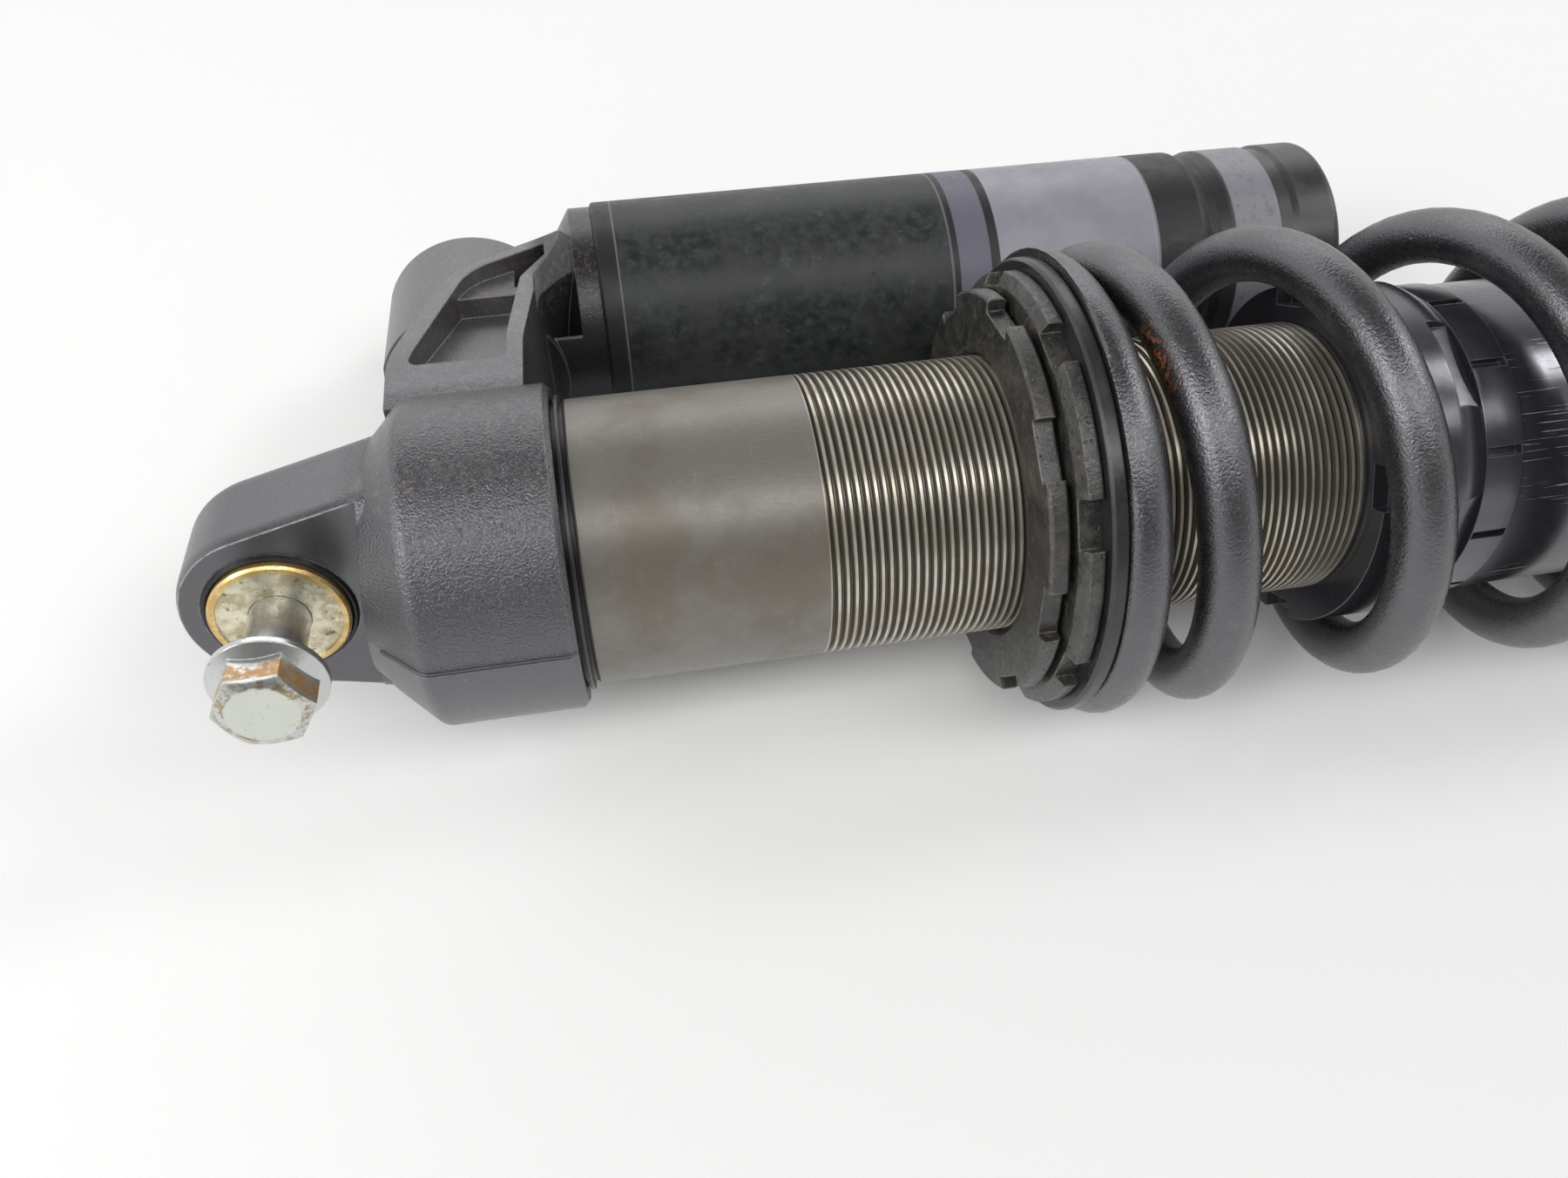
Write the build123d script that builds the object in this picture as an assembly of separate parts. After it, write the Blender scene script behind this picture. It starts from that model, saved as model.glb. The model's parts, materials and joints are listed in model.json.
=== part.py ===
from build123d import *

import math
import os

# A coil-over rear shock absorber with a piggyback reservoir, lying on its springs and its reservoir.
#
# The pieces are drawn in the damper's own axes: +X runs down the damper from the upper eye, +Z runs along
# the upper bolt towards its head, and +Y is square to both. settle() then lays the whole shock on the floor.
# Sizes are in millimetres. A name that ends in _X is a station along the damper, _R a radius.

# ---- Overall -----------------------------------------------------------------------------------------
STROKE = 160.0
FIT = 0.05            # radial running clearance of a shaft in its bore
GAP = 0.3             # air between two pieces that pass each other
TOUCH = 0.02          # radial slack of a piece seated in another piece of the same body
EDGE = 1.0            # usual chamfer of a turned piece
HEX_RELIEF = 1.2      # how far a hexagon's corners are turned off, as a share of their height

# ---- Damper body ---------------------------------------------------------------------------------------
TUBE_R = 25.5
TUBE_WALL = 2.5
TUBE_BORE_R = TUBE_R - TUBE_WALL
TUBE_START_X = 31.0
NECK_R = TUBE_R - 0.6  # the tube's plain neck just below the cup
NECK_CHAMFER = 0.5
SPRING_R = TUBE_R + 18.1  # outside radius of both springs

# ---- Upper cap: eyelet lug, cup, bridge, adjuster boss and reservoir head, one casting --------------------
LUG_WALL = 3.9
LUG_HALF_WIDTH = 8.8
LUG_CAST_HALF_WIDTH = 11.5
LUG_CAST_ROUND = 5.0
LUG_WALL_X = 15.0     # where the milled faces of the lug run out against the cup
LUG_WALL_TILT = 6.0
CUP_R = TUBE_R + 3.2
CUP_SHOULDER_X = 24.3
CUP_FACE_X = 49.0
CUP_NOSE_X = 11.0
CUP_SHOULDER_ROUND = 3.0
CUP_CHAMBER_R = TUBE_BORE_R - 2.0
CUP_CHAMBER_X = TUBE_START_X - 4.0
LUG_ROOT_X = CUP_SHOULDER_X - 0.3
LUG_ROOT_HALF_HEIGHT = CUP_R - 5.4
NECK_END_X = CUP_FACE_X + 2.0
PARTING_STEP = 0.6    # the lower half of the casting stands proud of the upper by this much
PARTING_START_X = 17.0
SEAL_RING_R = NECK_R + 1.5
SEAL_RING_WIDTH = 0.6

RESERVOIR_R = 24.0
RESERVOIR_BORE_R = RESERVOIR_R - 2.0
RESERVOIR_Y = 5.5     # the reservoir's axis beside the damper's
RESERVOIR_Z = -(SPRING_R + RESERVOIR_R + 2.2)
HEAD_START_X = 55.8
HEAD_R = RESERVOIR_R - 0.8
HEAD_NECK_X = HEAD_START_X - 9.8
HEAD_NECK_R = RESERVOIR_R - 7.0
HEAD_NECK_TOP_X = HEAD_START_X - 2.8
HEAD_NECK_TOP_R = RESERVOIR_R - 5.0
HEAD_JOINT_X = HEAD_START_X + 4.6
HEAD_SPIGOT = 10.0

BRIDGE_TOP_Y = CUP_R - 4.1  # top face where it meets the cup
BRIDGE_RISE = 6.0     # degrees that the top face climbs towards the reservoir
BRIDGE_BOTTOM_Y = -7.0
BRIDGE_ROOT = 12.0    # both sides of the plan start here, inside the cup
BRIDGE_OUTER_X = 21.0
BRIDGE_OUTER_RUN = 10.8
BRIDGE_OUTER_DROP = 17.7  # how far short of the reservoir's axis each bend lies
BRIDGE_INNER_X = 44.6
BRIDGE_INNER_DROP = 24.2
BRIDGE_OVERLAP = 0.5  # how far the bridge runs into the reservoir head's flange
BRIDGE_END_X = HEAD_START_X + BRIDGE_OVERLAP
# Corners of the bridge's plan: station, distance from the damper's axis, bend radius.
BRIDGE_OUTER_CORNERS = (
    (BRIDGE_OUTER_X, CUP_R - 2.7, 20.0),
    (BRIDGE_OUTER_X + BRIDGE_OUTER_RUN, -RESERVOIR_Z - BRIDGE_OUTER_DROP, 15.0),
)
BRIDGE_INNER_CORNERS = (
    (BRIDGE_INNER_X + 3.6, -RESERVOIR_Z - BRIDGE_INNER_DROP, 7.0),
    (BRIDGE_INNER_X + 0.6, CUP_R + 0.3, 25.0),
)
BRIDGE_END_OUTER = -RESERVOIR_Z - 5.8
BRIDGE_END_INNER = -RESERVOIR_Z - 12.9
BRIDGE_BEVEL = 8.0    # the top slopes down to the head's rim over this length at most
BRIDGE_RIM = 3.6
BRIDGE_THIN_RIM = (0.8, 1.9)  # the window is drawn out by this much, so its far rim is thinner
WINDOW_NEAR_Z = -(CUP_R - 5.2)
WINDOW_FAR_X = HEAD_START_X - 5.4
WINDOW_STEP_Z = -(CUP_R + 17.3)
WINDOW_ROUND = 1.6
WINDOW_DEPTH = 2.5    # far half of the window
NEAR_DEPTH = 6.6      # near half
HOLE_X = BRIDGE_INNER_X - 0.6
HOLE_Z = WINDOW_STEP_Z - 3.0
HOLE_DEPTH = 14.0     # the corner beside the head
RIB_X = BRIDGE_OUTER_X + 16.0
RIB_WIDTH = 2.4
RIB_NEAR = 7.3         # the rib's ends, counted from the cup
RIB_FAR = 18.3
RIB_Z = (-(CUP_R + RIB_NEAR), -(CUP_R + RIB_FAR))
RIB_TOP_Y = BRIDGE_TOP_Y - 7.6

BOSS_X = BRIDGE_OUTER_X + 12.5
BOSS_R = 18.5
BOSS_NEAR_Z = WINDOW_STEP_Z
BOSS_FAR_Z = RESERVOIR_Z - 6.7
BOSS_ROUND = 1.2
VALVE_BORE_R = 11.0
VALVE_BORE_DEPTH = 28.0
VALVE_BODY_LENGTH = 10.2
CAGE_START = 11.9     # the cartridge narrows to its cage here, counted from the boss's face
CAGE_INSET = 3.0
CAGE_SLOT = (14.0, 25.0)
CAGE_SLOT_WIDTH = 3.0
CAGE_SLOTS = 4
GALLERY_R = 3.5

# ---- Upper bearing, sleeve and bolt -------------------------------------------------------------------
SLEEVE_R = 11.5
SLEEVE_HALF_LENGTH = LUG_HALF_WIDTH + 1.9
SLEEVE_LIP = 1.4
SLEEVE_DISH_DEPTH = 0.4
BEARING_R = SLEEVE_R + 1.1
BEARING_HALF_LENGTH = LUG_HALF_WIDTH - 3.2
SEAL_LIP = 0.7        # how far a dust seal stands out of the lug
LUG_R = BEARING_R + LUG_WALL
SLEEVE_EDGE = 0.5
BOLT_R = 5.0
BOLT_STANDOFF = 13.8  # flange to sleeve, the bolt being drawn out by this much
BOLT_SHANK = 45.0
BOLT_FLANGE_R = 9.4
BOLT_FLANGE_EDGE = 1.2
BOLT_FLANGE_HEIGHT = 2.6
BOLT_HEX_ACROSS = 14.0
BOLT_HEAD_HEIGHT = 8.1
BOLT_TOP_R = 6.0

# ---- Reservoir ---------------------------------------------------------------------------------------
RESERVOIR_SHOULDER_X = 189.0
RESERVOIR_WAIST_X = RESERVOIR_SHOULDER_X + 2.0
RESERVOIR_WAIST_R = RESERVOIR_R - 1.1
RESERVOIR_END_X = RESERVOIR_SHOULDER_X + 4.0
PLUG_SPIGOT = 14.0
PLUG_BAND_X = RESERVOIR_END_X + 2.4
PLUG_BAND_END_X = RESERVOIR_END_X + 13.6
PLUG_BAND_R = RESERVOIR_R - 0.3
COVER_STEP_X = PLUG_BAND_END_X + 3.4
COVER_STEP_R = RESERVOIR_R - 0.9
COVER_END_X = PLUG_BAND_END_X + 13.6
COVER_R = RESERVOIR_R - 0.2
COVER_WALL = 2.4
COVER_ROUND = 1.6
VALVE_STEM_R = 3.9
VALVE_STEM_FOOT = 2.0
VALVE_STEM_END_X = COVER_END_X + 1.0
VALVE_NUT_ACROSS = 9.4
VALVE_NUT_LENGTH = 3.0
VALVE_CAP_R = 5.2
VALVE_CAP_LENGTH = 11.0
FLOAT_X = 118.0
FLOAT_LENGTH = 22.0
FLOAT_CROWN = 7.0
FLOAT_WALL = 2.5

# ---- Preload: lock ring, preload ring and spring seat -----------------------------------------------------
LOCK_X = 125.0
LOCK_THICK = 3.4
LOCK_R = TUBE_R + 11.7
LOCK_NOTCH_R = LOCK_R - 2.7
LOCK_NOTCH_WIDTH = 10.2
PRELOAD_X = LOCK_X + LOCK_THICK + 1.0
PRELOAD_BEVEL = 1.2
PRELOAD_R = TUBE_R + 14.5
PRELOAD_NOTCH_R = PRELOAD_R - 2.5
PRELOAD_NOTCH_WIDTH = 8.4
RING_NOTCHES = 8
RING_EDGE = 0.5
RING_HUB_R = TUBE_R + 5.5
LOCK_NOTCH_ANGLE = -2.7
PRELOAD_NOTCH_ANGLE = 16.5
THREAD_LEAD_IN = 1.3
SEAT_X = PRELOAD_X + 4.0
SEAT_FACE_X = SEAT_X + 2.9  # first turn of the tender spring seats here
SEAT_R = SPRING_R - 1.6
SEAT_SPIGOT = 4.3
SPIGOT_CLEARANCE = 1.2

# ---- Springs -----------------------------------------------------------------------------------------
TENDER_WIRE = 10.0
TENDER_TURNS = 6.0
TENDER_PITCH = 36.0
TENDER_TIP = -153.0   # angle of the first wire tip about the damper
MAIN_WIRE = 12.0
MAIN_TURNS = 8.5
MAIN_PITCH = 40.0
MAIN_TIP = 20.0
COIL_CLEARANCE = 0.15  # between the closed end turns
GROUND_SHARE = 0.31    # share of the wire that the ground end plane takes off below the wire's centre
WIRE_SIDES = 12
SPANS_PER_TURN = 16

# ---- Crossover: collar, sleeve and flange between the springs ----------------------------------------------
COLLAR_AFTER_SEAT = 49.7
COLLAR_X = SEAT_FACE_X + COLLAR_AFTER_SEAT
COLLAR_R = TUBE_R + 6.5
COLLAR_LENGTH = 20.0
COLLAR_DOME = 6.0
COLLAR_DOME_FALL = 2.2
COLLAR_DOME_BEND = 9.0
COLLAR_NOTCH_R = TUBE_R + 3.0  # floor of its notches
COLLAR_CROWN = 5.6     # height of the castellations on the far edge
COLLAR_TEETH = 6
COLLAR_TOOTH_ANGLE = 57.0
SPANNER_NOTCH_DEPTH = 3.0
SPANNER_NOTCH_WIDTH = 8.0
SPANNER_NOTCH_ANGLE = 65.0
SPANNER_NOTCHES = 4
COUPLER_R = TUBE_R + 4.0
COUPLER_BAND_R = COUPLER_R + 0.5
COUPLER_BAND = 7.0
SLIT_WIDTH = 1.6
SLIT_DEPTH = 1.6
SLITS = 12
SLIT_ANGLE = -2.0
FLANGE_THICK = 7.0
FLANGE_SPIGOT = 4.5

# ---- Seal head, rod and piston ---------------------------------------------------------------------------
ROD_R = 8.0
ROD_BORE_R = ROD_R / 2
HEAD_LENGTH = 26.0
HEAD_SEAL_DEPTH = 7.0
BUSHING_R = ROD_R + 2.0
ROD_SEAL_R = ROD_R + 5.0
ROD_SEAL_HOLLOW = 3.0
RETAINER_DEPTH = 1.4
RETAINER_GROOVE = 0.9
RETAINER_WIDTH = 2.9
RETAINER_MOUTH = 6.0
DUST_CAP_THICK = 4.0
DUST_CAP_SPIGOT = 1.6
O_RING_R = 1.3
TOP_OUT_LENGTH = 14.0
TOP_OUT_R = ROD_R + 6.0
TOP_OUT_WAIST = 1.5
TOP_OUT_WAIST_HALF = 2.0
PISTON_LENGTH = 14.0
PISTON_GROOVE = 1.2
PISTON_BAND = 10.0
PISTON_PORTS = 6
PISTON_PORT_R = 2.2
PISTON_PORT_CIRCLE_R = TUBE_BORE_R - 8.0
ROD_TIP_R = ROD_R - 2.0
ROD_TIP = 2.0         # the rod stands this far out of the piston nut
SHIM = 0.5
SHIM_RADII = (TUBE_BORE_R - 4.0, TUBE_BORE_R - 6.0, TUBE_BORE_R - 8.0, TUBE_BORE_R - 10.5)
PISTON_NUT_ACROSS = 19.0
PISTON_NUT_LENGTH = 8.0
NEEDLE_TAPER = 10.0
NEEDLE_TIP_R = 1.0

# ---- Lower end ----------------------------------------------------------------------------------------
RETAINER_THICK = 5.5
RETAINER_SPIGOT = 4.5
RETAINER_SLOT = 2 * ROD_R + 1.0
EYE_NECK_R = 17.0
EYE_SHOULDER_LIP = 7.0
EYE_SHOULDER_R = EYE_NECK_R + EYE_SHOULDER_LIP
EYE_SHOULDER = 7.0
EYE_SHOULDER_EDGE = 2.0
EYE_REACH = 44.94     # from that shoulder's top to the lower eye's axis
BUMP_STOP_LENGTH = 26.56
BUMP_STOP_WALL = 7.5
BUMP_STOP_R = ROD_R + BUMP_STOP_WALL
BUMP_STOP_WAIST_R = BUMP_STOP_R - 2.5
BUMP_STOP_RIBS = (0.2, 0.45, 0.7)  # first rib, waist and second rib, as shares of its length
BUMP_STOP_CLEARANCE = 1.5
BUMP_CUP_R = BUMP_STOP_R + 4.5
BUMP_CUP_THICK = 2.5
LOWER_BOLT_R = 6.0
LOWER_SLEEVE_R = LOWER_BOLT_R + 5.0
LOWER_BEARING_R = LOWER_SLEEVE_R + 2.0
LOWER_EYE_R = LOWER_BEARING_R + 5.5
LOWER_EYE_HALF_WIDTH = 11.0
LOWER_EYE_ROUND = 2.0
LOWER_BUSH_INSET = 3.0
LOWER_SLEEVE_HALF_LENGTH = LOWER_EYE_HALF_WIDTH + 2.0
LOWER_WEB_HEIGHT = 1.7 * LOWER_EYE_R
LOWER_WEB_ROUND = 4.0
KNOB_R = 8.0
KNOB_SHAFT_R = KNOB_R / 2
KNOB_HEIGHT = 7.0
KNOB_EDGE = 0.8
KNOB_FLUTES = 12
KNOB_FLUTE_R = 1.2
KNOB_SLOT_WIDTH = 1.2
KNOB_SLOT_DEPTH = 1.2
KNOB_SLOT_LENGTH = 1.6 * KNOB_R
COMPRESSION_PLUG_ACROSS = 19.0
COMPRESSION_PLUG_HEIGHT = 5.0
REBOUND_BOSS_R = 10.5
REBOUND_BOSS_Z = 21.5
REBOUND_BEFORE_EYE = 27.0
REBOUND_TAPER = 6.0   # the neck's taper ends this far past the clicker's axis

FULL_TURN = 360.0
FAR = 200.0            # longer than anything that a cutting block has to cross


def turned(*outline):
    """Solid of revolution about X. The outline is a list of (x, radius) points."""
    return revolve(make_face(Polyline(*outline, close=True)), Axis.X)


def tube(start, end, outer, inner=0.0):
    """Plain ring or disc about X."""
    return turned((start, inner), (start, outer), (end, outer), (end, inner))


def along_z(shape):
    """Turns a piece drawn along X so that it lies along Z."""
    return Rot(0, -90, 0) * shape


def about_x(shape, angle):
    return Rot(angle, 0, 0) * shape


def o_ring(station, radius, section):
    """Torus about X."""
    return Pos(station, 0, 0) * Rot(0, 90, 0) * Torus(radius, section)


def hexagon(start, end, across):
    """Hexagonal bar along X with its corners turned off at the far end."""
    corner_r = across / math.sqrt(3)
    bar = Pos(start, 0, 0) * Rot(0, 90, 0) * extrude(RegularPolygon(corner_r, 6), end - start)
    relief = (corner_r - across / 2) * HEX_RELIEF
    turned_off = [(end - relief / 2, corner_r), (end, corner_r - relief)]
    blank = turned((start, 0), (start, corner_r), *turned_off, (end, 0))
    return bar & blank


def notch_cutters(start, end, floor_r, width, count, first_angle):
    """Square notches round a ring, deep to floor_r."""
    block = Pos((start + end) / 2, floor_r + FAR / 2, 0) * Box(end - start, FAR, width)
    return [about_x(block, first_angle + FULL_TURN * i / count) for i in range(count)]


# ---- Springs -----------------------------------------------------------------------------------------
def spring_rise(turns, closed, pitch, total):
    """Axial rise of the wire's centre: one closed turn, one turn of growing pitch, open turns, and back."""

    def rise_from_end(n):
        if n <= 1:
            return closed * n
        if n <= 2:
            return closed * n + (pitch - closed) * (n - 1) ** 2 / 2
        return closed * 2 + (pitch - closed) / 2 + pitch * (n - 2)

    half = total / 2
    if turns <= half:
        return rise_from_end(turns)
    return 2 * rise_from_end(half) - rise_from_end(total - turns)


def spring_length(wire, pitch, total):
    """Length between the two ground ends."""
    return spring_rise(total, wire + COIL_CLEARANCE, pitch, total) - 2 * GROUND_SHARE * wire


def spring(start, wire, pitch, total, tip_angle):
    """Compression spring with closed and ground ends, its wire as a run of short mitred bars."""
    mean_r = SPRING_R - wire / 2
    first = start - GROUND_SHARE * wire
    count = round(total * SPANS_PER_TURN)
    route = []
    for i in range(count + 1):
        turns = total * i / count
        angle = math.radians(tip_angle + FULL_TURN * turns)
        rise = spring_rise(turns, wire + COIL_CLEARANCE, pitch, total)
        route.append((first + rise, mean_r * math.cos(angle), mean_r * math.sin(angle)))
    path = Polyline(*route)
    section = Plane(origin=path @ 0, z_dir=path % 0) * RegularPolygon(wire / 2, WIRE_SIDES)
    coil = sweep(section, path=path, transition=Transition.RIGHT)
    length = spring_length(wire, pitch, total)
    ground = Pos(start + length / 2, 0, 0) * Box(length, FAR, FAR)
    return coil & ground


def tender_spring():
    return spring(SEAT_FACE_X, TENDER_WIRE, TENDER_PITCH, TENDER_TURNS, TENDER_TIP)


def main_spring():
    return spring(MAIN_TOP_X, MAIN_WIRE, MAIN_PITCH, MAIN_TURNS, MAIN_TIP)


# ---- Stations and radii that follow from the sizes above ----------------------------------------------
FLANGE_X = SEAT_FACE_X + spring_length(TENDER_WIRE, TENDER_PITCH, TENDER_TURNS)
MAIN_TOP_X = FLANGE_X + FLANGE_THICK
RETAINER_X = MAIN_TOP_X + spring_length(MAIN_WIRE, MAIN_PITCH, MAIN_TURNS)
TENDER_BORE_R = SPRING_R - TENDER_WIRE
MAIN_BORE_R = SPRING_R - MAIN_WIRE
BUMP_CUP_X = RETAINER_X - BUMP_CUP_THICK
BUMP_STOP_X = BUMP_CUP_X - BUMP_STOP_LENGTH
DUST_CAP_END_X = BUMP_STOP_X - BUMP_STOP_CLEARANCE - STROKE
TUBE_END_X = DUST_CAP_END_X - DUST_CAP_THICK
SEAL_HEAD_X = TUBE_END_X - HEAD_LENGTH - RETAINER_DEPTH - DUST_CAP_SPIGOT
SEAL_HEAD_END_X = SEAL_HEAD_X + HEAD_LENGTH
PISTON_END_X = SEAL_HEAD_X - GAP - TOP_OUT_LENGTH
PISTON_X = PISTON_END_X - SHIM * len(SHIM_RADII) - PISTON_LENGTH
PISTON_NUT_X = PISTON_X - SHIM * len(SHIM_RADII) - PISTON_NUT_LENGTH
EYE_SHOULDER_X = RETAINER_X + RETAINER_THICK
EYE_TO_EYE = EYE_SHOULDER_X + EYE_REACH
REBOUND_X = EYE_TO_EYE - REBOUND_BEFORE_EYE
BRIDGE_SLOPE = math.tan(math.radians(BRIDGE_RISE))


# ---- Upper cap ----------------------------------------------------------------------------------------
def lug_blank():
    """Eyelet lug as cast: an eye that flares into the cup, round on its edges."""
    eye = Circle(LUG_R)
    root = Pos(LUG_ROOT_X, 0) * Rectangle(1, 2 * LUG_ROOT_HALF_HEIGHT)
    outline = make_hull(eye.edges() + root.edges())
    blank = extrude(outline, LUG_CAST_HALF_WIDTH, both=True)
    faces = blank.edges().filter_by(lambda e: abs(abs(e.center().Z) - LUG_CAST_HALF_WIDTH) < FIT)
    rims = faces.filter_by(lambda e: e.center().X < LUG_ROOT_X)
    return fillet(rims, LUG_CAST_ROUND)


def lug_faces():
    """Blocks that mill the two faces of the lug flat, out to a wall across the cup's nose."""
    depth = FAR / 2
    block = Pos(-depth / 2, 0, LUG_HALF_WIDTH + depth / 2) * Box(depth, FAR, depth)
    near = Pos(LUG_WALL_X, 0, 0) * Rot(0, 0, -LUG_WALL_TILT) * block
    return [near, mirror(near, Plane.XY)]


def cup_turning(start, radius):
    """Cup turned to one radius, with a 45 degree cone from its start to its shoulder."""
    start_r = radius - (CUP_SHOULDER_X - start)
    cup = turned(
        (start, 0),
        (start, start_r),
        (CUP_SHOULDER_X, radius),
        (CUP_FACE_X - EDGE, radius),
        (CUP_FACE_X, radius - EDGE),
        (CUP_FACE_X, 0),
    )
    shoulder = cup.edges().filter_by(lambda e: abs(e.center().X - CUP_SHOULDER_X) < FIT)
    return fillet(shoulder, CUP_SHOULDER_ROUND)


def cup_blank():
    """Cup as cast, its lower half standing a little proud at the parting line."""
    lower_half = Pos(0, -FAR / 2, 0) * Box(FAR, FAR, FAR)
    proud = cup_turning(PARTING_START_X, CUP_R + PARTING_STEP) & lower_half
    return cup_turning(CUP_NOSE_X, CUP_R) + proud


def bridge_plan():
    """Plan of the bridge between the cup and the reservoir head, seen along the damper's Y axis."""
    outer = [(x, reach) for x, reach, bend in BRIDGE_OUTER_CORNERS]
    inner = [(x, reach) for x, reach, bend in BRIDGE_INNER_CORNERS]
    starts = [(BRIDGE_INNER_X, BRIDGE_ROOT), (BRIDGE_OUTER_X, BRIDGE_ROOT)]
    ends = [(BRIDGE_END_X, BRIDGE_END_OUTER), (BRIDGE_END_X, BRIDGE_END_INNER)]
    plan = make_face(Polyline(*starts, *outer, *ends, *inner, close=True))
    for x, reach, bend in BRIDGE_OUTER_CORNERS + BRIDGE_INNER_CORNERS:
        corner = plan.vertices().sort_by_distance((x, reach, 0))[0]
        plan = fillet(corner, bend)
    return plan


def raised_to_top(plan, bottom):
    """Stands a plan up from a level and cuts it off at the bridge's sloping top face."""
    height = BRIDGE_TOP_Y + FAR / 2
    block = Plane(origin=(0, bottom, 0), x_dir=(1, 0, 0), z_dir=(0, 1, 0)) * extrude(plan, height - bottom)
    above = Pos(0, FAR / 2, 0) * Box(FAR * 2, FAR, FAR * 2)
    return block - Pos(0, BRIDGE_TOP_Y, -CUP_R / 2) * Rot(BRIDGE_RISE, 0, 0) * above


def top_level(z):
    """Height of the bridge's top face at a place along it."""
    return BRIDGE_TOP_Y - (z + CUP_R / 2) * BRIDGE_SLOPE


def bridge_window():
    """Window inside the bridge's rim, in three levels: near the cup, beside the boss, and a deep corner."""
    inside = offset(bridge_plan(), -BRIDGE_RIM)
    inside = inside + Pos(*BRIDGE_THIN_RIM) * inside
    middle_x = WINDOW_FAR_X - FAR / 2
    window = inside & Pos(middle_x, FAR / 2 - WINDOW_NEAR_Z) * Rectangle(FAR, FAR)
    near_corners = window.vertices().filter_by(lambda v: v.Y < FIT - WINDOW_NEAR_Z)
    window = fillet(near_corners, WINDOW_ROUND)
    near = window & Pos(middle_x, -WINDOW_STEP_Z - FAR / 2) * Rectangle(FAR, FAR)
    hole = window & Pos(HOLE_X + FAR / 2, FAR / 2 - HOLE_Z) * Rectangle(FAR, FAR)
    step_top = top_level(WINDOW_STEP_Z)
    levels = [(window, WINDOW_DEPTH), (near, NEAR_DEPTH), (hole, HOLE_DEPTH)]
    return [raised_to_top(plan, step_top - depth) for plan, depth in levels]


def bridge_bevel():
    """What is cut off the bridge's top so that it runs down to the rim of the reservoir head."""
    start = HEAD_START_X - BRIDGE_BEVEL
    end = BRIDGE_END_X + FIT
    ring = turned((start, HEAD_R + BRIDGE_BEVEL), (start, FAR), (end, FAR), (end, HEAD_R), (HEAD_START_X, HEAD_R))
    return Pos(0, RESERVOIR_Y, RESERVOIR_Z) * ring


def reservoir_head():
    """Flange and spigot that carry the reservoir tube, on a flared neck."""
    spigot_r = RESERVOIR_BORE_R - TOUCH
    outline = turned(
        (HEAD_NECK_X, 0),
        (HEAD_NECK_X, HEAD_NECK_R),
        (HEAD_NECK_TOP_X, HEAD_NECK_TOP_R),
        (HEAD_START_X, HEAD_R),
        (HEAD_JOINT_X, HEAD_R),
        (HEAD_JOINT_X, spigot_r),
        (HEAD_JOINT_X + HEAD_SPIGOT, spigot_r),
        (HEAD_JOINT_X + HEAD_SPIGOT, 0),
    )
    return Pos(0, RESERVOIR_Y, RESERVOIR_Z) * (outline - head_groove())


def head_groove():
    station = HEAD_JOINT_X + HEAD_SPIGOT / 2
    return tube(station - O_RING_R, station + O_RING_R, RESERVOIR_R, RESERVOIR_BORE_R - 2 * O_RING_R)


def adjuster_boss():
    """Round housing of the compression valve, square to the reservoir and reaching away from the cup."""
    blank = tube(BOSS_FAR_Z, BOSS_NEAR_Z, BOSS_R)
    far_edges = blank.edges().filter_by(lambda e: abs(e.center().X - BOSS_FAR_Z) < FIT)
    far_rim = far_edges.filter_by(lambda e: e.length > BOSS_R)
    return Pos(BOSS_X, RESERVOIR_Y, 0) * along_z(fillet(far_rim, BOSS_ROUND))


def oil_ways():
    """Valve bore in the boss, and the galleries from the cup and to the reservoir."""
    valve = at_boss(tube(0, VALVE_BORE_DEPTH, VALVE_BORE_R))
    to_cup = at_boss(tube(0, -CUP_CHAMBER_R / 2 - BOSS_FAR_Z, GALLERY_R))
    head_end = HEAD_JOINT_X + HEAD_SPIGOT
    to_reservoir = Pos(0, RESERVOIR_Y, BOSS_FAR_Z + VALVE_BORE_R) * tube(BOSS_X, head_end, GALLERY_R)
    return [valve, to_cup, to_reservoir]


def gusset(z):
    """Thin rib that ties the bridge to the reservoir head's flange."""
    length = HEAD_START_X - RIB_X + FIT
    height = RIB_TOP_Y - BRIDGE_BOTTOM_Y
    rib = Pos(HEAD_START_X - length / 2, BRIDGE_BOTTOM_Y + height / 2, z) * Box(length, height, RIB_WIDTH)
    outside = Pos(0, RESERVOIR_Y, RESERVOIR_Z) * tube(RIB_X, HEAD_START_X + FIT, FAR, HEAD_R)
    return rib - outside


def upper_cap():
    chamber = turned(
        (CUP_CHAMBER_X, 0),
        (CUP_CHAMBER_X, CUP_CHAMBER_R),
        (TUBE_START_X, CUP_CHAMBER_R),
        (TUBE_START_X, TUBE_R + TOUCH),
        (CUP_FACE_X, TUBE_R + TOUCH),
        (CUP_FACE_X, 0),
    )
    bridge = raised_to_top(bridge_plan(), BRIDGE_BOTTOM_Y) - bridge_window() - bridge_bevel()
    body = cup_blank() + lug_blank() + bridge + adjuster_boss() + reservoir_head()
    body = body + [gusset(z) for z in RIB_Z]
    body = body - lug_faces() - along_z(tube(-FAR / 2, FAR / 2, BEARING_R)) - chamber
    return body - oil_ways()


def cap_seal_ring():
    """Thin ring between the cup and the tube's full diameter."""
    start = CUP_FACE_X + (NECK_END_X - CUP_FACE_X - SEAL_RING_WIDTH) / 2
    return tube(start, start + SEAL_RING_WIDTH, SEAL_RING_R, NECK_R + TOUCH)


# ---- Bearings ------------------------------------------------------------------------------------------
def bearing_bush(outer, inner, half_length):
    return along_z(tube(-half_length, half_length, outer, inner + FIT))


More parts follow.
